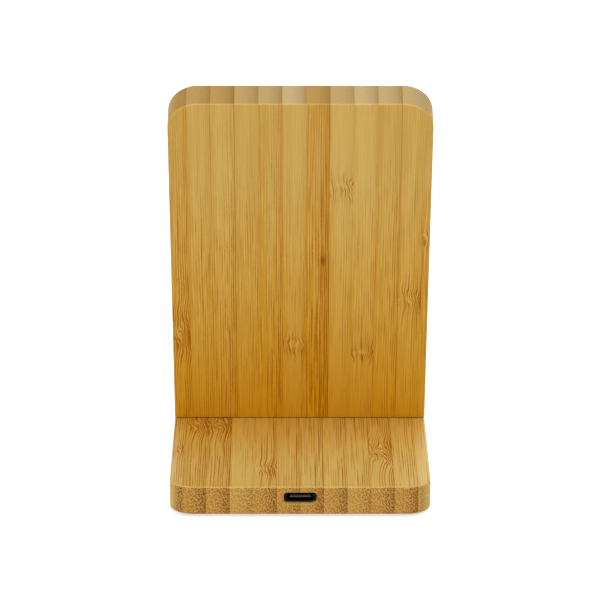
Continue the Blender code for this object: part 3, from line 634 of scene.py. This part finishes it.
work = bmesh.new()
length = 0.0028
start = tongue_low.y + 0.0007
for face in (-1, 1):
    for i in range(contact_count):
        x = (i - (contact_count - 1) / 2) * contact_pitch
        level = port_middle_z + face * tongue_thickness / 2
        strip = bmesh.ops.create_cube(work, size=1)["verts"]
        bmesh.ops.scale(work, vec=(contact_width, length, 2 * contact_rise), verts=strip)
        bmesh.ops.translate(work, vec=(x, start + length / 2, level), verts=strip)
strips = new_piece("gold_port_contacts", work)
soften(strips, contact_rise * 0.6, 1)
contacts = settle(strips)

# %% [markdown]
# ## The coils
# Each coil is one long stranded wire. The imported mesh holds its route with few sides, and a copy,
# welded and subdivided once, becomes a round wire.

# %% Round the coils
def rounded_copy(name, node):
    work = bmesh.new()
    work.from_mesh(frame["nodes"][node].data)
    bmesh.ops.remove_doubles(work, verts=work.verts, dist=0.000001)
    wire = new_piece(name, work)
    modify(wire, "round", "SUBSURF", levels=1, render_levels=1)
    return settle(wire)


coils = {name: rounded_copy(f"litz_{name}", name) for name in ("lower_coil", "upper_coil")}

# %% [markdown]
# ## Writing materials as sums
# A node tree is slow to read, so here a material is written as arithmetic. A Wire stands for one
# socket, and a sum of wires puts in the Math nodes. One method, node, makes every other kind, and
# sets the settings first, because they decide which sockets a node has.

# %% Wires and sheets
def sign(operation, swapped=False):
    """What a sign such as + does with a wire."""
    def apply(wire, other):
        pair = (other, wire) if swapped else (wire, other)
        return wire.sheet.node("Math", {"operation": operation}, dict(enumerate(pair)))

    return apply


class Wire:
    """One socket of a finish. Sums with wires and numbers add Math nodes."""

    __add__ = sign("ADD")
    __radd__ = sign("ADD", True)
    __sub__ = sign("SUBTRACT")
    __rsub__ = sign("SUBTRACT", True)
    __mul__ = sign("MULTIPLY")
    __rmul__ = sign("MULTIPLY", True)
    __truediv__ = sign("DIVIDE")
    __pow__ = sign("POWER")
    __rpow__ = sign("POWER", True)

    def __init__(self, sheet, socket):
        self.sheet = sheet
        self.socket = socket

    def maths(self, operation, *others):
        return self.sheet.node("Math", {"operation": operation}, dict(enumerate((self, *others))))

    def held(self):
        """The value, held between 0 and 1."""
        return self.maths("MAXIMUM", 0.0).maths("MINIMUM", 1.0)


class Sheet:
    """One finish, of a material or of the world."""

    def __init__(self, name, owners=bpy.data.materials, shader="Principled BSDF"):
        self.material = owners.new(name)
        self.material.use_nodes = True
        self.tree = self.material.node_tree
        self.shader = self.tree.nodes[shader]

    def fill(self, socket, value):
        """Puts a value into a socket, or links a wire to it."""
        if isinstance(value, Wire):
            self.tree.links.new(value.socket, socket)
        else:
            socket.default_value = value

    def node(self, kind, settings=None, inputs=None, output=0):
        """Any node: its type, settings, values or wires, and the wanted output."""
        made = self.tree.nodes.new("ShaderNode" + kind)
        for name, value in (settings or {}).items():
            if name == "stops":
                self.set_stops(made.color_ramp, value)
            else:
                setattr(made, name, value)
        for key, value in (inputs or {}).items():
            self.fill(made.inputs[key], value)
        return Wire(self, made.outputs[output])

    def set_stops(self, ramp, stops):
        ramp.interpolation = "CONSTANT"
        while len(ramp.elements) < len(stops):
            ramp.elements.new(1.0)
        for element, (place, grey) in zip(ramp.elements, stops):
            element.position = place
            element.color = (grey, grey, grey, 1)

    def surface(self, **sockets):
        """Fills the shader's own sockets, named in words."""
        for words, value in sockets.items():
            name = words.replace("_", " ").title().replace("Ior", "IOR")
            self.fill(self.shader.inputs[name], value)
        return self.material


sample = Sheet("sample")
total = 1 - sample.node("TexCoord", output="Object") * 2
print("the last node of one sum:", total.socket.node.operation)
bpy.data.materials.remove(sample.material)

# %% [markdown]
# ## A few words for patterns
# The patterns of every finish get short names. Colours are given as on a screen, from 0 to 255, and
# turned into light values by the screen's own curve.

# %% Patterns and colours
def colour(red, green, blue):
    """A screen colour as light values."""
    shares = [value / 255 for value in (red, green, blue)]
    return tuple(s / 12.92 if s <= 0.04045 else ((s + 0.055) / 1.055) ** 2.4 for s in shares) + (1.0,)


def part(place, axis):
    return place.sheet.node("SeparateXYZ", {}, {0: place}, axis)


def place_in_mm(sheet):
    """The place on the piece, in its own axes, in millimetres."""
    place = sheet.node("TexCoord", output="Object")
    scaled = sheet.node("VectorMath", {"operation": "SCALE"}, {0: place, "Scale": 1000.0})
    return [part(scaled, axis) for axis in "XYZ"]


def vector(x, y, z):
    return x.sheet.node("CombineXYZ", {}, {"X": x, "Y": y, "Z": z})


def noise(place, scale, detail=2.0, rough=0.5, seed=0.0):
    inputs = {"Vector": place, "W": seed, "Scale": scale, "Detail": detail, "Roughness": rough}
    return place.sheet.node("TexNoise", {"noise_dimensions": "4D"}, inputs)


def streaks(x, y, z, seed):
    """A plain noise, another one for every seed."""
    return noise(vector(x, y, z), 1.0, 1.0, 0.5, seed)


def cells(place, scale, randomness=1.0, dimensions="3D"):
    return place.sheet.node("TexVoronoi", {"voronoi_dimensions": dimensions},
                            {"Vector": place, "Scale": scale, "Randomness": randomness}, "Distance")


def rise(value, low, high, kind="SMOOTHSTEP"):
    """A step: 0 below low, 1 above high."""
    return value.sheet.node("MapRange", {"interpolation_type": kind},
                            {"Value": value, "From Min": low, "From Max": high})


def mix(share, first, second):
    return share.sheet.node("Mix", {"data_type": "RGBA"}, {0: share, 6: first, 7: second}, 2)


def bump(height, distance, strength=0.5):
    return height.sheet.node("Bump", {}, {"Height": height, "Distance": distance, "Strength": strength})


print("a honey colour as light:", colour(200, 160, 90))

# %% [markdown]
# ## Bamboo
# The boards are glued from strips of bamboo set on edge. Towards the culm's skin a strip is packed
# with dark bundles of fibre, so each runs from pale to dark and jumps back at the glue line. The
# bundles are lines on the faces and dots on the sawn ends, and a flat picture would fail at the round
# corners between. So the wood is written as a solid: cells stretched along the grain, which any
# surface cuts through. Where a leaf grew, at a knuckle, the threads swerve and break into curls.

# %% The strips of each board from left to right, shares in hundredths
strip_pitch = 6.755
strip_count = 12
plain_strip = (0, 1.6)
leaning_strips = {
    "first_seam": 5.4,
    "tones": [65, 40, 30, 40, 55, 25, 78, 22, 22, 42, 36, 50],
    "skins": [30, 40, 70, 40, 80, 60, 140, 40, 55, 60, 50, 30],
    "lines": [110, 75, 100, 70, 100, 65, 135, 55, 65, 80, 70, 90],
    "seams": [10, 30, 90, 20, 40, 20, 50, 15, 30, 80, 20, 0],
    "ends": [75, 60, 70, 45, 35, 0, 75, 35, 0, 15, 25, 50],
    "end_skins": [45, 70, 80, 65, 70, 75, 70, 50, 75, 75, 20, 20],
    "knuckles": {0: (33, 3.3), 5: (28, 2.1), 7: (87, 2.3), 8: (25, 2.0), 10: (45.5, 2.0), 11: (68, 1.8)},
    "knot": (6.6, 60.3),
}
foot_strips = {
    "first_seam": 3.76,
    "tones": [20, 55, 40, 10, 20, 25, 0, 0, 0, 15, 10, 0],
    "skins": [25, 50, 60, 25, 45, 35, 35, 40, 40, 50, 45, 20],
    "lines": [90, 110, 120, 70, 100, 100, 100, 100, 100, 110, 100, 80],
    "seams": [30, 60, 80, 30, 60, 50, 70, 40, 50, 60, 60, 0],
    "ends": [35, 75, 65, 25, 75, 70, 70, 60, 30, 65, 65, 35],
    "end_skins": [40, 65, 65, 25, 60, 45, 60, 65, 35, 60, 55, 10],
    "knuckles": {0: (29, 2.0), 1: (50, 3.2), 2: (50, 3.2), 4: (13, 2.4), 9: (27, 4.2)},
}
panel_strips = {
    "first_seam": 2.6,
    "tones": [40, 30, 60, 20, 50, 35, 25, 70, 40, 20, 50, 40],
    "skins": [60, 50, 80, 50, 60, 70, 40, 90, 50, 60, 70, 50],
    "lines": [80, 70, 100, 60, 90, 80, 60, 110, 80, 70, 90, 70],
    "seams": [30, 60, 20, 50, 70, 30, 50, 20, 60, 40, 50, 0],
    "knuckles": {1: (70, 2.2), 3: (24, 2.0), 5: (101, 2.6), 7: (50, 1.9), 10: (85, 2.1)},
}
panel_strips.update(ends=panel_strips["tones"], end_skins=panel_strips["skins"])
print(strip_count, "strips on each board, each", strip_pitch, "mm wide")


# %% Where a point lies in its strip
class Grain:
    """Where a point lies: in mm, in which strip, and how far across it."""

    def __init__(self, sheet, strips, along):
        self.sheet = sheet
        self.strips = strips
        self.x, self.y, self.z = place_in_mm(sheet)
        if along == "X":
            self.x, self.y = self.y - lip_low.y * 1000.0, self.x
        across = (self.x + (half_width * 1000 + strip_pitch - strips["first_seam"])) / strip_pitch
        self.number = across.maths("FLOOR")
        self.share = across - self.number

    def pick(self, values):
        """The strip's own one of the values."""
        low = min(values)
        span = max(values) - low
        stops = [(i / strip_count, (value - low) / span) for i, value in enumerate(values)]
        picked = self.sheet.node("ValToRGB", {"stops": stops}, {0: (self.number + 0.5) / strip_count})
        return picked * span + low

    def own(self, name):
        return self.pick([value / 100 for value in self.strips[name]])


# %% [markdown]
# ### Swerving threads
# Painted curls would end nowhere, but bent threads join each curl to a line. So a knuckle pushes the
# place at which they are read sideways: a slow S further away, a tangle close by, and in the middle
# the pale scar of the leaf, which few threads cross.

# %% Bend the grain
def swerve(at, wander):
    """The push sideways in mm, how near the knuckle is, and how much is scar."""
    knuckles = [at.strips["knuckles"].get(i, plain_strip) for i in range(strip_count)]
    height = at.pick([place for place, spread in knuckles])
    present = at.pick([1.0 if place else 0.0 for place, spread in knuckles])
    bendy = at.pick([spread for place, spread in knuckles])
    reach = (at.y - height) / bendy
    near = 2.718 ** (reach * reach * -0.06) * present
    close = 2.718 ** (reach * reach * -0.22) * present
    slow = streaks(at.x * 0.22, at.y * (0.018 * wander), at.z * 0.22, at.number * 3.7) - 0.5
    curls = streaks(at.x * 0.45, reach * 0.45, at.z * 0.45, at.number * 5.1) - 0.5
    bend = (reach * 0.8).maths("SINE") * near * (bendy - 1.6) * 0.5
    lean = reach - 0.35 + curls * 2.0
    aside = (at.share - 0.45) / 0.24
    scar = 2.718 ** ((lean * lean * 3.5 + aside * aside) * -1.0) * present
    return slow * 1.2 + bend + close * curls * (bendy + 1.5), close, scar


# %% [markdown]
# ### Threads, fibres and bands
# Slow bands, threads and hair-fine fibres lie over each other. Stretched noise would blur, but the
# real lines are crisp and side by side, so each thread is a narrow cell, and a noise of its own tells
# where it shows and where it fades.

# %% Threads side by side
def fibres(at, place, seed, along, eager, width, doorstep):
    """Parallel threads. An eager part of the board shows more of them."""
    cell = place.maths("FLOOR")
    level = at.z * 1.7 + 0.5
    layer = level.maths("FLOOR")
    off_middle = (place - cell - 0.5).maths("ABSOLUTE")
    off_level = (level - layer - 0.5).maths("ABSOLUTE")
    profile = 1 - rise(off_middle.maths("MAXIMUM", off_level * width * 1.8), 0.04, width)
    shown = streaks(cell * 3.71, at.y * along, layer * 5.3, (at.number + seed) * 1.7)
    broken = streaks(cell * 2.13, at.y * 1.3, layer * 4.1, (at.number + seed) * 2.9)
    return profile * rise(shown + eager, doorstep, doorstep + 0.2) * (broken * 1.5 + 0.25)


# %% The lines on a face
def face_darkness(at, thread, knuckle, contrast, wander):
    """How dark and how light the fibres make a face."""
    weight = at.own("lines") * (at.share * 0.5 + 0.6)
    eager = (weight - 0.9) * 0.12 + knuckle * 0.17
    bold = fibres(at, thread * 0.55, 0.0, 0.028 * wander, eager, 0.19, 0.47)
    hairs = fibres(at, thread, 0.3, 0.05 * wander, eager, 0.38, 0.38)
    bright = fibres(at, thread + 0.5, 0.6, 0.04 * wander, 0.0, 0.38, 0.4)
    skin = at.own("skins") * at.share ** 2.6 * (contrast * 0.4 + 0.1)
    seam_line = rise(at.share, 0.96, 0.985) * at.own("seams")
    lines = (bold * 0.66 + hairs * 0.6) * (weight * contrast + knuckle * 0.65)
    dark = lines + skin * 0.4 + seam_line * 0.75 - 0.08
    return dark.held(), bright * (1 - at.share * 0.5) * contrast * 0.5


# %% The one dark knot
def knot_share(at):
    """A small scar, longer along the grain than across it."""
    aside, along = at.strips["knot"]
    spread = ((at.x - aside) / 0.8) ** 2.0 + ((at.y - along) / 1.9) ** 2.0
    return 2.718 ** (spread * -1.0) * 0.85


# %% The dots on a sawn end
def end_darkness(at, thread):
    """Each bundle is a dot in a slanting row. They crowd towards the skin."""
    row = thread - at.z * 1.1
    along_row = thread + at.z * 1.1 + at.number * 4.1
    spots = cells(vector(row * 0.95, along_row * 0.6, 0.0), 1.2, 0.75, "2D")
    dots = 1 - rise(spots, 0.16, 0.46)
    mottle = noise(vector(thread * 1.5, at.y * 0.05, at.z * 1.6), 1.0, 2.0, 0.6, at.number * 6.1)
    skin = at.own("end_skins") * at.share ** 2.7
    seam_line = rise(at.share, 0.95, 0.99) * at.own("seams")
    dotted = (at.share ** 1.5 * 0.55 + 0.5) * (at.own("ends") * 0.7 + 0.6)
    return dots * dotted + (mottle - 0.5) * 0.5, skin * 0.7 + seam_line * 0.15, mottle


# %% The bamboo finish
deep = colour(158, 93, 0)
knot_brown = colour(128, 66, 0)
# The pale fibre colour also paints a highlight on the rounded edges.
pale_fibre_and_highlight = colour(220, 182, 98)
# The amber over its span is painted shade and orange bounce light.
leaning_face = dict(
    fresh=(colour(196, 164, 89), colour(182, 134, 45)), painted_bounce=colour(194, 138, 10), painted_bounce_span=(90.0, 0.0),
    contrasts=(0.52, 1.33), busy_span=(100.0, 55.0), patchy=1.0, wander=1.6, edge_highlight=0.16)
foot_face = dict(
    fresh=(colour(202, 172, 96), colour(188, 142, 54)), painted_bounce=colour(213, 152, 8), painted_bounce_span=(18.0, 78.0),
    contrasts=(1.25, 1.25), busy_span=(0.0, 50.0), patchy=0.35, wander=1.0, edge_highlight=0.3)
panel_face = dict(
    leaning_face, painted_bounce_span=(200.0, 0.0), contrasts=(1.2, 1.2), busy_span=(0.0, 100.0), patchy=0.9, edge_highlight=0.2)
lip_face = dict(panel_face, painted_bounce_span=(-100.0, 300.0))
top_ends = (colour(186, 163, 114), colour(170, 128, 50), colour(126, 82, 28))
near_ends = (colour(190, 149, 75), colour(181, 133, 60), colour(106, 62, 10))


def bamboo(name, strips, face, ends, dot_strength=1.0, along="Y"):
    """Edge-glued bamboo, with amber painted over a span along the grain as shade and bounce light."""
    sheet = Sheet(name)
    at = Grain(sheet, strips, along)
    push, knuckle, scar = swerve(at, face["wander"])
    across = at.share + push / strip_pitch
    thread = across * 7.5 + across * across * 2.0 + at.number * 31.0

    # Painted shade and bounce light: a share of amber that grows along the grain over the span.
    painted_bounce = rise(at.y, *face["painted_bounce_span"], "LINEAR")
    fresh_contrast, aged_contrast = face["contrasts"]
    busy = rise(at.y, *face["busy_span"], "LINEAR")
    contrast = busy * (aged_contrast - fresh_contrast) + fresh_contrast
    dark, bright = face_darkness(at, thread, knuckle, contrast, face["wander"])
    bands = streaks(thread * 0.34, at.y * 0.014, at.z * 0.3, at.number * 2.3) - 0.5
    belly = at.share * (at.share - 1.0) * 1.6 + 0.27
    tone = at.own("tones") + (bands * 1.1 + belly) * (contrast * 0.5 + 0.4) * face["patchy"]
    ground = mix(tone.held(), *face["fresh"])
    ground = mix(painted_bounce * (0.85 + 0.3 * at.own("tones")), ground, face["painted_bounce"])
    ground = mix(bright, ground, mix(painted_bounce * 0.8, pale_fibre_and_highlight, face["painted_bounce"]))
    ground = mix(scar * 0.4, ground, pale_fibre_and_highlight)
    face_colour = mix(dark * (1 - scar * 0.5), ground, deep)
    if "knot" in strips:
        face_colour = mix(knot_share(at), face_colour, knot_brown)

    dots, skin, mottle = end_darkness(at, thread)
    end_dark = (dots * dot_strength + skin).held()
    end_colour = mix(end_dark, mix(at.own("ends"), *ends[:2]), ends[2])

    normal = sheet.node("TexCoord", output="Normal")
    facing, level = [part(normal, axis).maths("ABSOLUTE") for axis in (along, "Z")]
    sawn = rise(facing, 0.45, 0.8)
    # Painted highlight: the rounded edges are mixed towards the pale fibre colour.
    arris_highlight_mask = rise(facing, 0.12, 0.5) * rise(level, 0.12, 0.5)
    return sheet.surface(
        base_color=mix(arris_highlight_mask * face["edge_highlight"], mix(sawn, face_colour, end_colour), pale_fibre_and_highlight),
        roughness=0.46 + 0.1 * dark + 0.12 * sawn,
        specular_ior_level=0.1,
        normal=bump(1 - dark * (1 - sawn) * 0.6 - end_dark * sawn, 0.00004, 0.35),
        coat_weight=0.02 + 0.03 * mottle,
        coat_roughness=0.35,
    )


leaning_bamboo = bamboo("leaning_bamboo", leaning_strips, leaning_face, top_ends, 0.2)
foot_bamboo = bamboo("foot_bamboo", foot_strips, foot_face, near_ends)
panel_bamboo = bamboo("panel_bamboo", panel_strips, panel_face, near_ends)
lip_bamboo = bamboo("lip_bamboo", panel_strips, lip_face, near_ends, 1.0, "X")
dowel_bamboo = bamboo("dowel_bamboo", panel_strips, panel_face, near_ends)
print("the bamboo finish has", len(leaning_bamboo.node_tree.nodes), "nodes")

# %% [markdown]
# ## Plastics, metals and the rest
# Most small pieces need a colour and a surface that are not quite even. One recipe serves them all,
# with another scale and depth for moulded plastic, zinc or silicone.

# %% A recipe for plain materials
def plain_finish(name, first, second, roughness, scale, depth, metallic=0.0):
    """Two close colours in patches, and a fine relief over them."""
    sheet = Sheet(name)
    place = vector(*place_in_mm(sheet))
    patches = noise(place, scale * 0.2, 2.0, 0.6)
    relief = noise(place, scale, 3.0, 0.65, 3.0)
    share = rise(patches * 0.6 + relief * 0.4, 0.35, 0.65)
    return sheet.surface(
        base_color=mix(share, colour(*first), colour(*second)),
        roughness=roughness + 0.12 * (patches - 0.5) + 0.1 * (relief - 0.5),
        normal=bump(relief, depth),
        metallic=metallic,
    )


silicone = plain_finish("black_silicone", (38, 38, 39), (52, 51, 50), 0.62, 5.0, 0.00001)
rubber = plain_finish("foot_rubber", (34, 34, 35), (48, 47, 46), 0.75, 7.0, 0.00002)
cover_plastic = plain_finish("cover_plastic", (36, 36, 38), (46, 46, 48), 0.52, 9.0, 0.00002)
black_plastic = plain_finish("black_plastic", (17, 17, 18), (27, 27, 28), 0.34, 9.0, 0.000006)
tray_plastic = plain_finish("tray_plastic", (206, 205, 198), (219, 218, 212), 0.5, 6.0, 0.00001)
zinc = plain_finish("zinc_steel", (188, 190, 192), (160, 163, 168), 0.34, 4.0, 0.000006, 1.0)
shell_steel = plain_finish("shell_steel", (48, 46, 44), (40, 39, 38), 0.27, 6.0, 0.000004, 1.0)
gold = plain_finish("contact_gold", (232, 190, 110), (206, 160, 84), 0.28, 20.0, 0.000002, 1.0)
ferrite = plain_finish("ferrite", (60, 60, 63), (76, 75, 78), 0.55, 8.0, 0.00001)
print("nine plain finishes")

# %% [markdown]
# A ceramic capacitor has tinned ends. Litz wire is a rope of hair-fine strands, which fine cells
# imitate. The circuit board is green lacquer, lighter over the tracks that stepped noise draws.

# %% Ceramic, litz copper and circuit board
cap_starts = 0.31
sheet = Sheet("ceramic")
place = vector(*place_in_mm(sheet))
along = part(sheet.node("TexCoord", output="Generated"), "X")
cap = rise((along - 0.5).maths("ABSOLUTE"), cap_starts, cap_starts + 0.02)
relief = noise(place, 7.0, 3.0, 0.65, 3.0)
body = mix(noise(place, 1.4, 2.0, 0.6), colour(146, 106, 70), colour(170, 132, 94))
tin = mix(relief, colour(182, 182, 178), colour(206, 206, 202))
ceramic = sheet.surface(
    base_color=mix(cap, body, tin),
    metallic=cap,
    roughness=0.46 - cap * 0.12 + 0.1 * (relief - 0.5),
    normal=bump(relief, 0.000006),
)

sheet = Sheet("litz_copper")
place = vector(*place_in_mm(sheet))
strands = cells(place, 6.0)
share = rise(strands * 0.8 + noise(place, 0.8) * 0.4, 0.3, 0.8)
litz_copper = sheet.surface(
    base_color=mix(share, colour(150, 78, 44), colour(214, 128, 78)),
    roughness=0.3 + 0.2 * strands,
    normal=bump(1 - strands, 0.00004, 0.6),
    metallic=1.0,
)

sheet = Sheet("board_laminate")
x, y, z = place_in_mm(sheet)
stepped = vector(x.maths("SNAP", 0.6), y * 0.08, 0.0)
crossed = vector(x * 0.08, y.maths("SNAP", 0.6), 4.0)
along = rise(noise(stepped, 1.2), 0.52, 0.54)
tracks = along.maths("MAXIMUM", rise(noise(crossed, 1.2), 0.56, 0.58))
weave = noise(vector(x, y, z), 6.0)
green = mix(tracks, colour(14, 74, 44), colour(30, 104, 60))
board_laminate = sheet.surface(
    base_color=mix(weave * 0.25, green, colour(60, 130, 84)),
    roughness=0.3 + 0.15 * weave,
    normal=bump(tracks, 0.00003, 0.6),
    coat_weight=0.4,
    coat_roughness=0.15,
)
print("three more finishes")

# %% [markdown]
# ## Dress every piece
# Each piece gets its finish, and the imported node that it stands for is hidden. All ride on the one
# body, because nothing moves. Imported pieces that stay only get a material.

# %% Put the finishes on
def put_on(piece, material):
    piece.data.materials.clear()
    piece.data.materials.append(material)


def dress(piece, material, slot, *nodes):
    put_on(piece, material)
    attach(piece, "root")
    if nodes:
        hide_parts(*nodes)


dress(foot_board, foot_bamboo, "bamboo", "base_board")
dress(backrest, leaning_bamboo, "bamboo", "backrest_board")
dress(panel, panel_bamboo, "bamboo", "front_cover")
dress(lip, lip_bamboo, "bamboo", "phone_lip")
dress(pad, silicone, "silicone", "shelf_pad")
for piece, node in zip(rubber_feet, feet):
    dress(piece, rubber, "silicone", node)
for piece, node in zip(long_fasteners + cover_fasteners, long_screws + cover_screws):
    dress(piece, zinc, "screw_steel", node)
dress(cover, cover_plastic, "cover_plastic", "base_cover")
dress(shell, shell_steel, "shell_steel", "usb_c_shell")
dress(tongue, black_plastic, "black_plastic", "usb_c_tongue")
dress(contacts, gold, "shell_steel")
for node, coil in coils.items():
    dress(coil, litz_copper, "litz_copper", node)

kept = {
    "dowel": dowel_bamboo, "board_screw": zinc, "main_board": board_laminate, "control_chip": black_plastic,
    "power_switch": black_plastic, "power_inductor": ferrite, "input_capacitor": ceramic,
    "resonant_capacitor": ceramic, "coil_carrier": tray_plastic, "lower_ferrite": ferrite,
    "upper_ferrite": ferrite,
}
for name, node in frame["nodes"].items():
    for stem, material in kept.items():
        if name.startswith(stem):
            put_on(node, material)
print("every piece has a finish")

# %% [markdown]
# ## Camera
# The photograph's widths of the near edge, the seam and the far edge give the distance, and the
# heights between them the look down. It is a long lens from about a metre away.

# %% Place the camera
image_side = 600
focal_pixels = 3503.8
look_down = radians(18.99)
camera_distance = 1.05388
seam_row = 417.8
middle_column = 299.79
camera_roll = radians(-0.07)
camera_turn = radians(0.21)

camera_data = bpy.data.cameras.new("camera")
camera_data.sensor_width = 36.0
camera_data.lens = focal_pixels * camera_data.sensor_width / image_side
ahead = Vector((0, cos(look_down), -sin(look_down)))
above = Vector((0, sin(look_down), cos(look_down)))
aside = Vector((1, 0, 0))
metres_per_pixel = camera_distance / focal_pixels
stand_off = (
    -ahead * camera_distance
    + above * ((seam_row - image_side / 2) * metres_per_pixel)
    + aside * ((image_side / 2 - middle_column) * metres_per_pixel)
)
camera_place = (
    Matrix.Translation(seam)
    @ Matrix.Rotation(-camera_turn, 4, "Z")
    @ Matrix.Translation(stand_off)
    @ Matrix((aside, above, -ahead)).transposed().to_4x4()
    @ Matrix.Rotation(-camera_roll, 4, "Z")
)
bpy.context.scene.camera = put_in_scene("camera", camera_data, camera_place)
print("a", round(camera_data.lens), "mm lens,", round(camera_distance, 2), "m away")

# %% [markdown]
# ## Light
# A lamp above lights the foot board and the sawn end. The leaning board's back faces downwards a
# little, and the floor and foot board light it, so the seam glows orange, helped by the amber painted
# into the bamboo there as shade and bounce light. A low wide lamp and an even room fill the rest, and
# another lamp lights the phone side.

# %% Lamps and room
def softbox(name, place, size, power):
    data = bpy.data.lights.new(name, "AREA")
    data.shape = "RECTANGLE"
    data.size, data.size_y = size
    data.energy = power
    turn = (stand_middle - Vector(place)).to_track_quat("-Z", "Y").to_matrix().to_4x4()
    put_in_scene(name, data, Matrix.Translation(place) @ turn)


stand_middle = Vector((0, 0, 0.05))
softbox("overhead", (0.1, -0.5, 1.25), (0.9, 0.9), 9.0)
softbox("fill", (-0.3, -1.5, 0.45), (1.0, 0.8), 11.0)
softbox("far side", (0.3, 1.5, 0.5), (1.0, 0.8), 8.0)


def seen_directly(sheet):
    """1 for rays from the camera, a mirror or glass, 0 for light on its way to the stand."""
    camera_ray, glossy_ray, clear_ray = [
        sheet.node("LightPath", output=f"Is {kind} Ray") for kind in ("Camera", "Glossy", "Transmission")]
    return camera_ray.maths("MAXIMUM", glossy_ray).maths("MAXIMUM", clear_ray)


white = (1, 1, 1, 1)
room_light = 0.45
room = Sheet("studio", bpy.data.worlds, "Background")
room_strength = seen_directly(room) * (1 - room_light) + room_light
bpy.context.scene.world = room.surface(color=white, strength=room_strength)
print("three softboxes and a room light of", room_light)

# %% [markdown]
# ## Floor
# The ground is pure white, and lamps that bright would bleach the wood. So the floor is a pale grey
# that adds white only for the camera's and mirrored rays, under the soft shadow. From below it is
# clear, so that the underside can be seen.

# %% Lay the floor
floor_radius = 4.0
floor_grey = (0.7, 0.7, 0.7, 1)
floor_white = 0.6

work = bmesh.new()
bmesh.ops.create_circle(work, cap_ends=True, segments=96, radius=floor_radius)
floor = new_piece("floor", work)
sheet = Sheet("floor")
grain = noise(vector(*place_in_mm(sheet)), 0.02)
sheet.surface(
    base_color=mix(grain * 0.1, floor_grey, white),
    roughness=0.9,
    emission_color=mix(seen_directly(sheet), (0, 0, 0, 1), white),
    emission_strength=floor_white,
)
behind = sheet.node("NewGeometry", output="Backfacing")
shown = Wire(sheet, sheet.shader.outputs[0])
both = sheet.node("MixShader", {}, {0: behind, 1: shown, 2: sheet.node("BsdfTransparent")})
sheet.fill(sheet.tree.nodes["Material Output"].inputs["Surface"], both)
put_on(floor, sheet.material)
floor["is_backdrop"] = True

bpy.context.scene.view_settings.view_transform = "Standard"
print("the floor reaches", floor_radius, "m")

# %% [markdown]
# ## The stand's box
# The box round the dressed stand is measured, from every shown piece but the floor. The dressed stand
# has to stay inside the imported one's box.

# %% Measure and finish
low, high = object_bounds()
